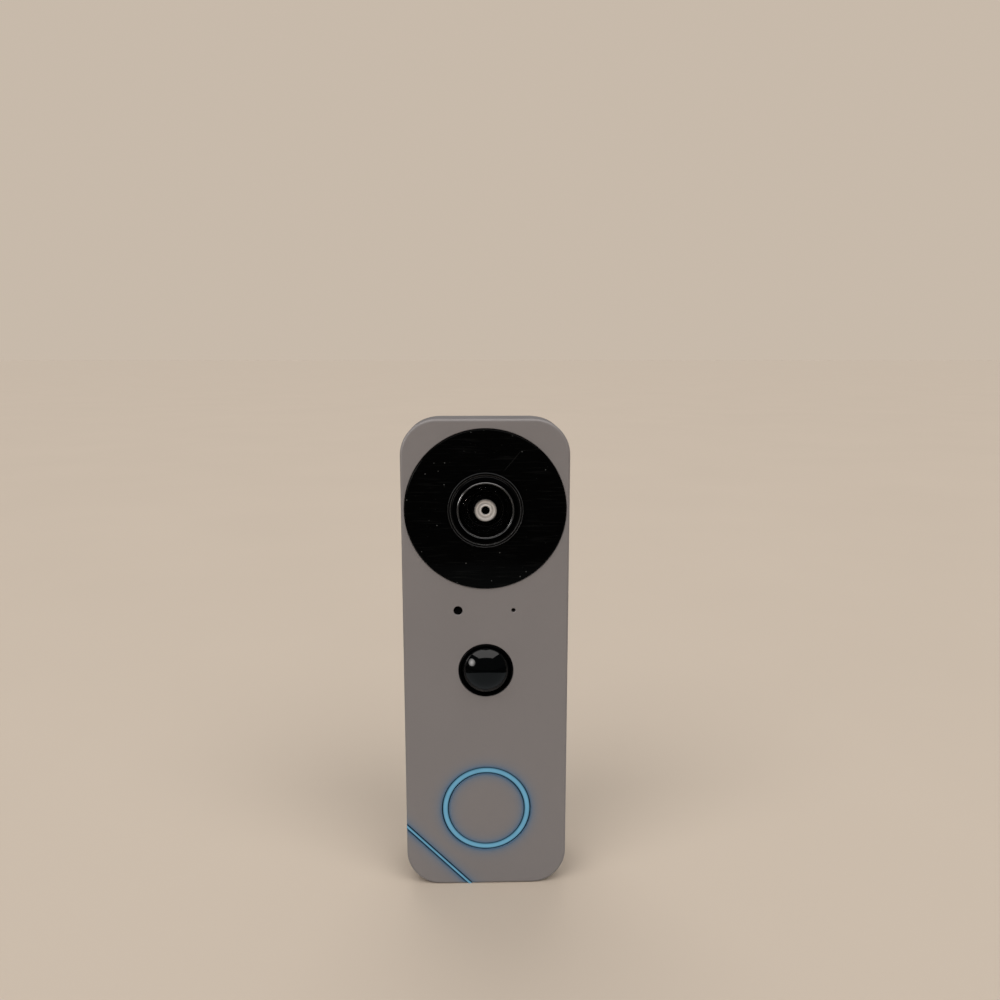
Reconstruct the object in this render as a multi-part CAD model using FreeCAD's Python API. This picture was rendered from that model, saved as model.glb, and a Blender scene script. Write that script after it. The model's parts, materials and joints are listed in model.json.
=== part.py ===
"""A wired video doorbell: a tall rounded slab that hooks on a flat wall plate.

A black window with the camera fills the top, a dark motion dome sits in the middle, and a round call
button with a light ring around it sits near the bottom. A second light line cuts off the lower left corner.
The front shell pulls off forwards, and the whole unit swings off the wall plate about a bead at its top.

Frame, in millimetres: +Z up and +X to the right as seen from in front. The wall is the plane Y = 0, and the
doorbell faces -Y. The origin is the middle of the wall plate's back. Most sizes along Y are given as a
depth, the distance out from the wall, so depth d is at Y = -d.
"""
import math
import os

import FreeCAD
import Part

# ---------------------------------------------------------------- driving dimensions
WIDTH, HEIGHT, CORNER = 44.0, 130.0, 9.5          # the front shell's outline
BACK_INSET = 0.7                                  # how far the rear housing lies inside that outline
SHELL_WALL, SHELL_FRONT = 1.5, 1.8                # the front shell's side and front walls
FIT = 0.15                                        # gap between shells that slide over each other

CAMERA_Z = 41.4                                   # heights of the front's features
SENSE_Z, SENSE_X = 14.25, 7.35                    # light sensor on the left, microphone on the right
MOTION_Z = -2.4
BUTTON_Z = -42.4
CORNER_LINE = -69.9                               # the corner light lies along x + z = this

# depths, out from the wall
PLATE_FRONT = 2.4
CASE_BACK = 0.4
BACK_WALL, BACK_WALL_IN = 5.6, 7.4
SEAM = 13.5
SHELL_BACK = 13.8
FRAME_WALL_IN, FRAME_FRONT = 20.2, 22.0
FACE_FRONT = 24.0
FACE_IN = FACE_FRONT - SHELL_FRONT

WINDOW_R, WINDOW_HOLE_R = 21.0, 9.95
BEZEL_R = 9.85
BARREL_R, NECK_R = 7.6, 4.5
LENS_R, LENS_SPHERE, LENS_THICK = 6.95, 11.0, 1.0
IRIS_SEAT, IRIS_FRONT = 22.35, 25.1               # the pale ring's foot and top
PUPIL_R, IRIS_R = 1.05, 2.98
MOTION_R, MOTION_DOME_R, MOTION_SPHERE = 7.2, 6.7, 7.4
CAP_R = 10.35
LEG_ANGLES = (90, 210, 330)                       # where the cap's hooked legs are
BAR_HALF, SLIT_HALF = 0.32, 0.65                  # half widths of the corner light and of its slit
RING_IN, RING_OUT = 10.6, 11.95
SHELL_RING_R = 12.2                               # the front shell's hole round the light ring

BOARD_THICK = 1.2
FRONT_BOARD, MAIN_BOARD, SENSOR_BOARD = 13.4, 9.2, 8.4     # back faces of the three boards

CASE_BOSSES = [(sx * 15.9, z) for z in (56.6, 10.0, -56.6) for sx in (-1, 1)]
SHELL_POSTS = [(sx * x, z) for x, z in ((16.6, 59.6), (17.2, -6.0), (16.6, -59.6)) for sx in (-1, 1)]
BOARD_POSTS = [(-11.2, 8.0), (11.2, 8.0), (-11.6, -27.0), (11.6, -27.0), (11.2, -58.6)]
SENSOR_SCREWS = [(-10.5, 51.5), (10.5, 51.5)]     # they hold the sensor board's top
TRAY_SCREWS = [(-10.6, 28.4), (10.6, 28.4)]       # they hold the lens holder, the tray and the board's foot
MAIN_SCREWS = [(-15.0, -20.5), (15.0, -20.5)]     # they hold the main board
BOARD_SCREW_R, BOARD_HEAD_R, BOARD_RECESS = 0.8, 1.6, 0.5
ROOM = (37.1, 123.1, 6.05)                        # the room inside the case: width, height and corner
SEAL_OUT, SEAL_IN = (40.0, 126.0, 7.5), (38.0, 124.0, 6.5)
SEAL_BACK = 12.7
TERMINALS = {"left": (-7.0, 12.0), "right": (7.0, 12.0)}
RESET_Z = -14.0
SPEAKER_Z, SPEAKER_R = -40.0, 13.0
NIGHT_LED_CIRCLE = 14.6

PIVOT_DEPTH, PIVOT_Z, BEAD_R = 2.2, 59.6, 1.3     # the bead that the unit hangs and swings on
LOCK_DEPTH = 3.0                                  # the security screw's axis
WALL_HOLE_R, WALL_HOLE_Z = 2.2, 48.0
WIRE_OPENING = (15.0, 4.0, 20.0)                  # half width, lowest and highest z
PLATE_POCKET = 0.7                                # how deep the plate is cored out on its wall side
PLATE_POCKETS = [(5.0, 15.5, low, high) for low, high in ((-54.0, -39.0), (-22.0, -7.0), (42.0, 56.0))]

SHUTTLE_TRAVEL = 7.0                              # the night filter's throw
ROTOR_SWING = math.radians(25.0)                  # either side of upright
ROTOR_ARM = SHUTTLE_TRAVEL / 2 / math.sin(ROTOR_SWING)
ROTOR_Z = CAMERA_Z - 12.2

BACKWARDS = FreeCAD.Vector(0, -1, 0)              # the direction in which depth grows
ORIGIN, ALONG_Y = FreeCAD.Vector(0, 0, 0), FreeCAD.Vector(0, 1, 0)


# ---------------------------------------------------------------- shapes that the parts are made of
def at(x, z, depth):
    """The point at that depth."""
    return FreeCAD.Vector(x, -depth, z)


def block(x0, x1, z0, z1, near, far):
    """A box between two depths."""
    return Part.makeBox(x1 - x0, far - near, z1 - z0, at(x0, z0, far))


def rod(x, z, radius, near, far):
    """A cylinder along Y between two depths."""
    return Part.makeCylinder(radius, far - near, at(x, z, near), BACKWARDS)


def tube(x, z, outer, inner, near, far):
    """A rod with a round hole right through."""
    return rod(x, z, outer, near, far).cut(rod(x, z, inner, near - 1, far + 1))


def edges_along_y(solid):
    """The straight edges that run along Y."""
    return [e for e in solid.Edges if abs(e.tangentAt(e.FirstParameter).y) > 0.99]


def slab(width, height, corner, near, far):
    """A rounded rectangle about the middle, between two depths."""
    solid = block(-width / 2, width / 2, -height / 2, height / 2, near, far)
    return solid.makeFillet(corner, edges_along_y(solid))


def turned(x, z, profile):
    """A solid of revolution about the line through (x, z) along Y; profile holds (radius, depth) points."""
    points = [at(x + r, z, d) for r, d in profile]
    face = Part.Face(Part.makePolygon(points + points[:1]))
    return face.revolve(at(x, z, 0), BACKWARDS, 360)


def edges_at(solid, depth):
    """The edges that lie wholly at one depth."""
    flat = [e for e in solid.Edges if abs(e.BoundBox.YMax - e.BoundBox.YMin) < 1e-6]
    return [e for e in flat if all(abs(v.Y + depth) < 1e-6 for v in e.Vertexes)]


def fused(shapes):
    """One solid from touching ones, with the lines between flush faces removed."""
    shapes = list(shapes)
    return shapes[0].multiFuse(shapes[1:]).removeSplitter()


def without(solid, *tools):
    """solid less every tool."""
    return solid.cut(Part.makeCompound(list(tools)))


def around(angles, radius, z=0.0, x=0.0):
    """Points on a circle, for angles in degrees."""
    return [(x + radius * math.cos(math.radians(a)), z + radius * math.sin(math.radians(a))) for a in angles]


def corner_strip(half_width, near, far, reach=WIDTH):
    """A straight strip along the corner light's line, between two depths."""
    strip = block(-reach, reach, -half_width, half_width, near, far)
    strip.rotate(ORIGIN, ALONG_Y, 45)
    middle = CORNER_LINE / 2
    strip.translate(FreeCAD.Vector(middle, 0, middle))
    return strip


def machine_screw(x, z, near, under_head, far, shank_r, head_r, recess=0.6):
    """A screw along Y: shank from near to under_head, pan head on to far, with a cross recess in the head."""
    head = rod(x, z, head_r, min(under_head, far), max(under_head, far))
    shank = rod(x, z, shank_r, min(near, under_head), max(near, under_head))
    arm, half = head_r * 0.6, head_r * 0.14
    deep = far - recess if far > under_head else far + recess
    low, high = min(deep, far), max(deep, far)
    cross = [block(x - a, x + a, z - b, z + b, low, high) for a, b in ((arm, half), (half, arm))]
    return without(fused([head, shank]), *cross)


def board_screw(x, z, under_head, tip):
    """A short screw for a board, its head on the side away from its tip."""
    head = 1.0 if under_head > tip else -1.0
    return machine_screw(x, z, tip, under_head, under_head + head, BOARD_SCREW_R, BOARD_HEAD_R, BOARD_RECESS)


def spun(solid, angle, z):
    """solid turned about the origin's line along Y, then lifted to z."""
    solid.rotate(ORIGIN, ALONG_Y, -angle)
    solid.translate(FreeCAD.Vector(0, 0, z))
    return solid


# ---------------------------------------------------------------- wall plate
def wall_plate():
    """The plate that stays on the wall: screw holes, wire opening, hanging bead and screw tab."""
    outline = slab(2 * 19.2, 2 * 59.6, 5.0, 0, PLATE_FRONT)
    outline = outline.makeFillet(0.5, edges_at(outline, PLATE_FRONT))
    wide, low, high = WIRE_OPENING
    opening = block(-wide, wide, low, high, -1, 4)
    opening = opening.makeFillet(3.0, edges_along_y(opening))
    neck = block(-12, 12, PIVOT_Z - 6.0, PIVOT_Z - 0.3, 0, PLATE_FRONT)
    bead = Part.makeCylinder(BEAD_R, 24, at(-12, PIVOT_Z, PIVOT_DEPTH), FreeCAD.Vector(1, 0, 0))
    tab = block(-6, 6, -60.3, -56.8, 0, 5.1)
    ribs = [block(s * 16.6 - 0.7, s * 16.6 + 0.7, -46, 46, PLATE_FRONT, 3.4) for s in (-1, 1)]
    plate = fused([outline.cut(opening), neck, bead, tab, *ribs])
    holes = []
    for z in (-WALL_HOLE_Z, WALL_HOLE_Z):
        sink = turned(0, z, [(0, 1.0), (WALL_HOLE_R, 1.0), (4.0, PLATE_FRONT), (4.0, 6.0), (0, 6.0)])
        holes += [rod(0, z, WALL_HOLE_R, -1, 4), sink]
    for z in (-30.0, 34.0):
        holes.append(block(-9, 9, z - 5, z + 5, -1, 4))
    for near, far, low, high in PLATE_POCKETS:
        pocket = block(near, far, low, high, -1, PLATE_POCKET)
        holes += [pocket, pocket.mirror(ORIGIN, FreeCAD.Vector(1, 0, 0))]
    lock = Part.makeCylinder(1.52, 7.1, at(0, -64, LOCK_DEPTH))
    return without(plate, *holes, lock)


def security_screw():
    """The short screw under the unit, threaded up into the wall plate's tab."""
    shank = Part.makeCylinder(1.5, 5.5, at(0, -62.5, LOCK_DEPTH))
    head = Part.makeCylinder(2.6, 1.5, at(0, -64.0, LOCK_DEPTH))
    socket = Part.makeCylinder(1.0, 0.9, at(0, -64.0, LOCK_DEPTH))
    return fused([shank, head]).cut(socket)


# ---------------------------------------------------------------- rear housing and frame
def rear_housing():
    """The back half of the case: a recess for the wall plate behind, the electronics' room in front."""
    width, height = WIDTH - 2 * BACK_INSET, HEIGHT - 2 * BACK_INSET
    outer = slab(width, height, CORNER - BACK_INSET, CASE_BACK, SEAM)
    outer = outer.makeFillet(0.8, edges_at(outer, CASE_BACK))
    room = slab(*ROOM, BACK_WALL_IN, SEAM)
    recess = slab(39.0, 125.0, 7.0, CASE_BACK - 1, BACK_WALL)
    case = without(outer, room, recess)

    inside = slab(*ROOM, 0, SEAM)
    bosses = [rod(x, z, 2.6, BACK_WALL_IN, 10.0).common(inside) for x, z in CASE_BOSSES]
    stands = [rod(x, z, 1.8, BACK_WALL_IN, SENSOR_BOARD) for x, z in SENSOR_SCREWS + TRAY_SCREWS]
    stands += [rod(x, z, 1.8, BACK_WALL_IN, MAIN_BOARD) for x, z in MAIN_SCREWS]
    hook = block(-11, 11, PIVOT_Z, 62.6, 0.9, BACK_WALL)
    groove = Part.makeCylinder(BEAD_R + 0.12, 30, at(-15, PIVOT_Z, PIVOT_DEPTH), FreeCAD.Vector(1, 0, 0))
    pad = block(-7, 7, -62.6, -60.8, CASE_BACK, BACK_WALL)
    barrier = [block(x - 0.6, x + 0.6, 7.0, 17.0, 4.0, BACK_WALL) for x in (-12.0, 0.0, 12.0)]
    case = fused([case, *bosses, *stands, hook.cut(groove), pad, *barrier])

    cuts = []
    for x, z in CASE_BOSSES:
        cuts += [rod(x, z, 1.1, 4, 11), rod(x, z, 2.1, 4, 7.0)]
    for x, z in TERMINALS.values():
        cuts.append(rod(x, z, 1.6, 5, 8))
    cuts.append(rod(0, RESET_Z, 1.95, 5, 8))
    cuts += [rod(x, z, 0.82, 6.4, 10) for x, z in SENSOR_SCREWS + TRAY_SCREWS + MAIN_SCREWS]
    for k in range(-3, 4):
        reach = math.sqrt(9.0 ** 2 - (k * 2.6) ** 2)
        middle = SPEAKER_Z + k * 2.6
        cuts.append(block(-reach, reach, middle - 0.6, middle + 0.6, 5, 8))
    for side in (-1, 1):
        for k in range(3):
            x = side * (9.4 + 2.4 * k)
            cuts.append(block(x - 0.6, x + 0.6, -66, -62.0, 1.4, 4.6))
    cuts += [screw_slot(1.65, -63.0, -60.0), screw_slot(2.8, -66.0, -62.45)]
    # the top edge is cut back, so that it clears the wall as the unit swings
    wedge = Part.makePolygon([at(-30, 60.2, 0.3), at(-30, 66.0, 0.3), at(-30, 66.0, 3.1), at(-30, 60.2, 0.3)])
    cuts.append(Part.Face(wedge).extrude(FreeCAD.Vector(60, 0, 0)))
    groove_ring = slab(*SEAL_OUT, SEAL_BACK, SEAM + 1).cut(slab(*SEAL_IN, SEAL_BACK - 1, SEAM + 2))
    return without(case, groove_ring, *cuts)


def screw_slot(radius, low, high):
    """A round-ended slot along Z at the security screw, open towards the wall."""
    hole = Part.makeCylinder(radius, high - low, at(0, low, LOCK_DEPTH))
    return hole.fuse(block(-radius, radius, low, high, -1, LOCK_DEPTH))


def front_frame():
    """The frame behind the front shell, which carries all that shows in front, and the front board."""
    width, height = WIDTH - 2 * SHELL_WALL - 2 * FIT, HEIGHT - 2 * SHELL_WALL - 2 * FIT
    corner = CORNER - SHELL_WALL - FIT
    outer = slab(width, height, corner, SEAM, FRAME_FRONT)
    room = slab(*ROOM, SEAM - 1, FRAME_WALL_IN)
    bosses = [rod(x, z, 2.4, 10.0, FRAME_WALL_IN) for x, z in CASE_BOSSES]
    sockets = [rod(x, z, 2.2, 17.6, FRAME_WALL_IN).common(outer) for x, z in SHELL_POSTS]
    stands = [rod(x, z, 1.8, FRONT_BOARD + BOARD_THICK, FRAME_WALL_IN) for x, z in BOARD_POSTS]
    led_pegs = [rod(x, z, 0.9, 19.4, FRAME_WALL_IN) for x, z in around((0, 120, 240), 13.0, CAMERA_Z)]
    frame = fused([outer.cut(room), *bosses, *sockets, *stands, *led_pegs])
    cuts = [rod(x, z, 1.01, 9, 16.5) for x, z in CASE_BOSSES]
    cuts += [rod(x, z, 1.22, 18.0, 23) for x, z in SHELL_POSTS]
    cuts += [rod(x, z, 0.82, 13, 18.6) for x, z in BOARD_POSTS]
    cuts.append(rod(0, CAMERA_Z, BEZEL_R + 0.1, 19, 23))
    cuts += [rod(x, z, 2.4, 19.9, 23) for x, z in around(range(30, 390, 60), NIGHT_LED_CIRCLE, CAMERA_Z)]
    cuts.append(rod(0, MOTION_Z, MOTION_R + 0.05, 19, 23))
    cuts += [rod(-SENSE_X, SENSE_Z, 1.25, 19, 23), rod(SENSE_X, SENSE_Z, 0.6, 19, 23)]
    cuts.append(rod(0, BUTTON_Z, RING_OUT + 0.1, 19, 23))
    cuts.append(corner_strip(1.9, 20.8, 23))
    window = slab(width - 5.0, height - 5.0, corner - 2.5, 19, 23)
    cuts.append(corner_strip(1.2, 19, 23).common(window))
    return without(frame, *cuts)


def housing_seal():
    """The silicone cord in the rear housing's groove."""
    return slab(*SEAL_OUT, SEAL_BACK, SEAM).cut(slab(*SEAL_IN, SEAL_BACK - 1, SEAM + 1))


def housing_screws():
    """Six long screws from the back into the frame's bosses."""
    return Part.makeCompound([machine_screw(x, z, 15.0, 7.0, 5.7, 1.0, 1.9) for x, z in CASE_BOSSES])


# ---------------------------------------------------------------- front shell
def inset_slab(inset, near, far):
    """The front shell's outline moved inwards, between two depths."""
    return slab(WIDTH - 2 * inset, HEIGHT - 2 * inset, CORNER - inset, near, far)


def faceplate():
    """The shell that shows in front, with its holes, the corner slit and six posts behind."""
    outer = slab(WIDTH, HEIGHT, CORNER, SHELL_BACK, FACE_FRONT)
    outer = outer.makeFillet(0.8, edges_at(outer, FACE_FRONT))
    inner = inset_slab(SHELL_WALL, SHELL_BACK - 1, FACE_IN)
    posts = [rod(x, z, 1.2, 18.2, FACE_IN) for x, z in SHELL_POSTS]
    shell = fused([outer.cut(inner), *posts])
    cuts = [
        rod(0, CAMERA_Z, WINDOW_R + FIT, SHELL_BACK - 1, 26),
        rod(0, MOTION_Z, MOTION_R + FIT, 22, 26),
        rod(0, BUTTON_Z, SHELL_RING_R, 22, 26),
        rod(-SENSE_X, SENSE_Z, 1.2, 22, 26),
        rod(SENSE_X, SENSE_Z, 0.47, 22, 26),
        corner_strip(SLIT_HALF, FACE_IN - 0.1, 26),
    ]
    return without(shell, *cuts)


def corner_light_bar():
    """The clear strip in the corner slit, with a foot glued behind the shell."""
    front = corner_strip(BAR_HALF, FACE_IN, FACE_FRONT - 0.12).common(inset_slab(0.05, FACE_IN, FACE_FRONT))
    behind = inset_slab(SHELL_WALL + 0.6, 20, FACE_IN)
    foot = corner_strip(1.5, 21.0, FACE_IN).common(behind)
    return fused([foot, front])


# ---------------------------------------------------------------- camera
def camera_window():
    """The round black window that night light shines through, with a hole for the camera."""
    front, back, soft = 24.45, 22.15, 0.35
    return turned(0, CAMERA_Z, [
        (WINDOW_HOLE_R, back), (WINDOW_R, back), (WINDOW_R, front - soft),
        (WINDOW_R - 0.1, front - 0.1), (WINDOW_R - soft, front), (WINDOW_HOLE_R, front),
    ])


def window_tape():
    """The ring of tape that holds the window to the frame."""
    return tube(0, CAMERA_Z, 20.2, 18.0, FRAME_FRONT, 22.15)


def camera_bezel():
    """The stepped black collar that rises out of the window round the lens."""
    return turned(0, CAMERA_Z, [
        (7.7, 19.0), (11.2, 19.0), (11.2, FRAME_WALL_IN), (BEZEL_R, FRAME_WALL_IN), (BEZEL_R, 24.75),
        (9.72, 24.9), (9.2, 24.9), (9.1, 24.68), (8.8, 24.68), (8.68, 24.95), (7.9, 25.55), (7.7, 25.55),
    ])


def lens_barrel():
    """The lens's metal body: a wide stepped mouth, and a neck that screws into the holder."""
    outside = [(2.0, 13.0), (NECK_R, 13.0), (NECK_R, 18.6), (BARREL_R, 18.6), (BARREL_R, 25.6), (7.35, 25.8)]
    mouth = [(7.1, 25.8), (LENS_R + 0.02, 25.6), (LENS_R + 0.02, 24.3), (6.1, 24.3), (6.1, 23.5), (5.4, 23.5)]
    throat = [(5.4, 22.9), (4.7, 22.9), (4.7, IRIS_SEAT), (3.42, IRIS_SEAT), (3.42, 21.2), (2.4, 21.2)]
    neck = [(2.4, 13.6), (2.0, 13.6)]
    return turned(0, CAMERA_Z, outside + mouth + throat + neck)


def front_lens():
    """The wide front element, a curved shell of glass."""
    top = 24.9 + LENS_SPHERE - math.sqrt(LENS_SPHERE ** 2 - LENS_R ** 2)
    centre = at(0, CAMERA_Z, top - LENS_SPHERE)
    cap = Part.makeSphere(LENS_SPHERE, centre).common(rod(0, CAMERA_Z, LENS_R, 24.3, 30))
    return cap.cut(Part.makeSphere(LENS_SPHERE - LENS_THICK, centre))


def inner_lenses():
    """Two small elements: one before the iris and one at the neck's end."""
    front = rod(0, CAMERA_Z, 3.4, 21.2, 23).common(Part.makeSphere(6.0, at(0, CAMERA_Z, 22.3 - 6.0)))
    rear = rod(0, CAMERA_Z, 2.38, 13.6, 16).common(Part.makeSphere(5.0, at(0, CAMERA_Z, 10.4)))
    return Part.makeCompound([front, rear])


def iris_ring():
    """The pale ring round the pupil: a dished top on a short cone, whose foot clamps the second lens."""
    cone = [(3.45, IRIS_SEAT), (4.4, IRIS_SEAT), (4.4, 22.8), (3.3, 23.1), (IRIS_R, 24.9), (2.86, IRIS_FRONT)]
    top = [(2.6, IRIS_FRONT), (PUPIL_R, 24.8), (PUPIL_R, 24.5), (2.55, 24.6), (2.95, 23.1)]
    return turned(0, CAMERA_Z, cone + top)


def lens_holder():
    """The collar that the lens screws into, on a lid over the filter tray."""
    lid = block(-13, 13, CAMERA_Z - 15.5, CAMERA_Z + 6.5, 12.9, 14.0)
    collar = rod(0, CAMERA_Z, 6.0, 14.0, 18.4)
    holder = fused([lid, collar])
    screws = [rod(x, z, 0.85, 12, 15) for x, z in TRAY_SCREWS]
    return without(holder, rod(0, CAMERA_Z, NECK_R + 0.02, 13.0, 19), rod(0, CAMERA_Z, 3.0, 12, 14), *screws)


def filter_tray():
    """The shallow tray over the sensor that the night filter slides in."""
    tray = block(-13, 13, CAMERA_Z - 15.5, CAMERA_Z + 6.5, 9.4, 12.9)
    slide_room = block(-11.3, 11.3, CAMERA_Z - 4.5, CAMERA_Z + 4.5, 10.9, 14)
    arm_room = block(-7.6, 7.6, CAMERA_Z - 15.0, CAMERA_Z - 4.4, 10.9, 14)
    view = block(-4.4, 4.4, CAMERA_Z - 4.0, CAMERA_Z + 4.0, 9, 12)
    screws = [rod(x, z, 0.85, 9, 14) for x, z in TRAY_SCREWS]
    tray = without(tray, slide_room, arm_room, view, *screws)
    return fused([tray, rod(0, ROTOR_Z, 0.6, 10.9, 12.8)])


def filter_shuttle():
    """The sliding frame with two square windows, and a slot for the rotor's pin."""
    x = -SHUTTLE_TRAVEL / 2
    low, high = 11.1, 12.2
    body = block(x - 7.5, x + 7.5, CAMERA_Z - 4.3, CAMERA_Z + 4.3, low, high)
    tab = block(x - 1.5, x + 1.5, CAMERA_Z - 6.2, CAMERA_Z - 4.3, low, high)
    windows = [block(x + s * 3.5 - half, x + s * 3.5 + half, CAMERA_Z - half, CAMERA_Z + half, depth, 13)
               for s in (-1, 1) for half, depth in ((2.7, 11.0), (3.0, 11.35))]
    slot = block(x - 0.62, x + 0.62, CAMERA_Z - 6.3, CAMERA_Z - 3.35, 11, 13)
    return without(fused([body, tab]), *windows, slot)


def filter_panes():
    """The blocking pane and the clear pane."""
    half = 2.98
    middles = [-SHUTTLE_TRAVEL / 2 + offset for offset in (-3.5, 3.5)]
    panes = [block(x - half, x + half, CAMERA_Z - half, CAMERA_Z + half, 11.35, 11.95) for x in middles]
    return Part.makeCompound(panes)


def filter_rotor():
    """The magnet that turns on a peg, with an arm and a pin that carries the shuttle."""
    magnet = tube(0, ROTOR_Z, 2.2, 0.64, 10.98, 12.25)
    hub = tube(0, ROTOR_Z, 1.4, 0.64, 12.25, 12.75)
    arm = block(-0.5, 0.5, ROTOR_Z + 0.9, ROTOR_Z + ROTOR_ARM + 0.3, 12.3, 12.75)
    pin = rod(0, ROTOR_Z + ROTOR_ARM, 0.5, 11.2, 12.5)
    rotor = fused([magnet, hub, arm, pin])
    rotor.rotate(at(0, ROTOR_Z, 0), ALONG_Y, -math.degrees(ROTOR_SWING))
    return rotor


def filter_coil():
    """The coil beside the rotor and its two pole plates."""
    coil = Part.makeCylinder(0.95, 3.6, at(5.4, ROTOR_Z - 1.8, 11.9))
    poles = [block(2.6, 6.4, ROTOR_Z + s * 2.2 - 0.4, ROTOR_Z + s * 2.2 + 0.4, 11.0, 12.6) for s in (-1, 1)]
    return Part.makeCompound([coil, *poles])


def image_sensor():
    """The sensor chip."""
    return block(-4.0, 4.0, CAMERA_Z - 3.6, CAMERA_Z + 3.6, 9.4, 10.5)


def sensor_board():
    """The small board behind the camera."""
    board = block(-12.8, 12.8, 25.9, 55.0, SENSOR_BOARD, 9.4)
    holes = [rod(x, z, 0.85, 8, 10) for x, z in SENSOR_SCREWS + TRAY_SCREWS]
    return without(board, *holes)


def rear_board_screws():
    """Two short screws in each rear board, and two long ones through the filter tray."""
    made = [board_screw(x, z, 9.4, 7.4) for x, z in SENSOR_SCREWS]
    made += [board_screw(x, z, 10.4, 7.4) for x, z in MAIN_SCREWS]
    made += [board_screw(x, z, 14.0, 7.4) for x, z in TRAY_SCREWS]
    return Part.makeCompound(made)


def night_led_board():
    """The ring board behind the black window."""
    return tube(0, CAMERA_Z, 17.6, 11.6, 18.4, 19.4)


def night_leds():
    """Six infrared lamps on the ring board."""
    lamps = []
    for x, z in around(range(30, 390, 60), NIGHT_LED_CIRCLE, CAMERA_Z):
        body = block(x - 1.5, x + 1.5, z - 1.5, z + 1.5, 19.4, 20.6)
        lens = Part.makeSphere(1.5, at(x, z, 20.3)).common(rod(x, z, 1.3, 20.6, 23))
        lamps.append(fused([body, lens]))
    return Part.makeCompound(lamps)


# ---------------------------------------------------------------- motion sensor, light sensor, microphone
def pir_bezel():
    """The thin black rim round the dome."""
    inner, front, soft = MOTION_DOME_R + 0.03, 24.27, 0.12
    return turned(0, MOTION_Z, [
        (inner, FRAME_WALL_IN), (MOTION_R, FRAME_WALL_IN), (MOTION_R, front - soft),
        (MOTION_R - soft, front), (inner + soft, front), (inner, front - soft),
    ])


def pir_lens():
    """The dome: a thin shell on a straight skirt, with a flange behind the frame."""
    base, wall = 23.3, 0.7
    top = base + MOTION_SPHERE - math.sqrt(MOTION_SPHERE ** 2 - MOTION_DOME_R ** 2)
    centre = at(0, MOTION_Z, top - MOTION_SPHERE)
    dome = Part.makeSphere(MOTION_SPHERE, centre).common(rod(0, MOTION_Z, MOTION_DOME_R, base, 30))
    skirt = rod(0, MOTION_Z, MOTION_DOME_R, 19.4, base)
    flange = rod(0, MOTION_Z, 8.3, 19.3, FRAME_WALL_IN)
    inner_r = MOTION_DOME_R - wall
    hollow = Part.makeSphere(MOTION_SPHERE - wall, centre).common(rod(0, MOTION_Z, inner_r, base - 0.5, 30))
    return fused([skirt, dome, flange]).cut(fused([rod(0, MOTION_Z, inner_r, 18, base), hollow]))


def pir_sensor():
    """The can with its filter window."""
    flange = rod(0, MOTION_Z, 4.6, 14.6, 15.1)
    can = rod(0, MOTION_Z, 4.1, 15.1, 18.9)
    can = can.makeFillet(0.4, edges_at(can, 18.9))
    return without(fused([flange, can]), block(-1.9, 1.9, MOTION_Z - 1.5, MOTION_Z + 1.5, 18.6, 20))


def light_sensor_pipe():
    """The dark rod that carries daylight to the light sensor."""
    return fused([rod(-SENSE_X, SENSE_Z, 1.12, 15.6, 23.8), rod(-SENSE_X, SENSE_Z, 2.0, 19.2, FRAME_WALL_IN)])


def light_sensor():
    """The daylight sensor chip."""
    return block(-SENSE_X - 1.0, -SENSE_X + 1.0, SENSE_Z - 1.0, SENSE_Z + 1.0, 14.6, 15.3)


def microphone():
    """The microphone chip."""
    return block(SENSE_X - 1.8, SENSE_X + 1.8, SENSE_Z - 1.4, SENSE_Z + 1.4, 14.6, 15.7)


def microphone_boot():
    """The rubber boot between the microphone and its hole."""
    boot = block(SENSE_X - 2.4, SENSE_X + 2.4, SENSE_Z - 2.0, SENSE_Z + 2.0, 15.7, FRAME_WALL_IN)
    return boot.cut(rod(SENSE_X, SENSE_Z, 0.5, 15, 21))


# ---------------------------------------------------------------- button and lights
def button_cap():
    """The round call button: a flat cap with a skirt, a stem and three hooked legs."""
    under, skirt = 22.4, 20.8
    cap = turned(0, BUTTON_Z, [
        (0, under), (9.3, under), (9.3, skirt), (CAP_R, skirt), (CAP_R, FACE_FRONT - 0.25),
        (CAP_R - 0.07, FACE_FRONT - 0.07), (CAP_R - 0.25, FACE_FRONT), (0, FACE_FRONT),
    ])
    stem = rod(0, BUTTON_Z, 1.7, 18.4, under)
    legs = []
    for angle in LEG_ANGLES:
        legs.append(spun(block(7.2, 8.2, -0.9, 0.9, 17.4, under), angle, BUTTON_Z))
        legs.append(spun(block(8.2, 8.7, -0.9, 0.9, 17.4, 18.2), angle, BUTTON_Z))
    return fused([cap, stem, *legs])


def button_guide():
    """The plate that guides the button's stem and legs, on three feet."""
    plate = rod(0, BUTTON_Z, RING_IN - 0.05, 18.2, 19.0)
    feet = [rod(x, z, 0.9, 14.6, 18.2) for x, z in around((30, 150, 270), 8.6, BUTTON_Z)]
    holes = [spun(block(6.9, 8.3, -1.1, 1.1, 18, 20), angle, BUTTON_Z) for angle in LEG_ANGLES]
    return without(fused([plate, *feet]), rod(0, BUTTON_Z, 1.85, 18, 20), *holes)


def button_seal():
    """The soft ring under the cap's skirt."""
    return tube(0, BUTTON_Z, 10.45, 9.2, 19.0, 20.1)


def button_spring():
    """The return spring round the stem, as the tube that it fills."""
    return tube(0, BUTTON_Z, 3.6, 2.9, 19.0, 22.4)


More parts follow.
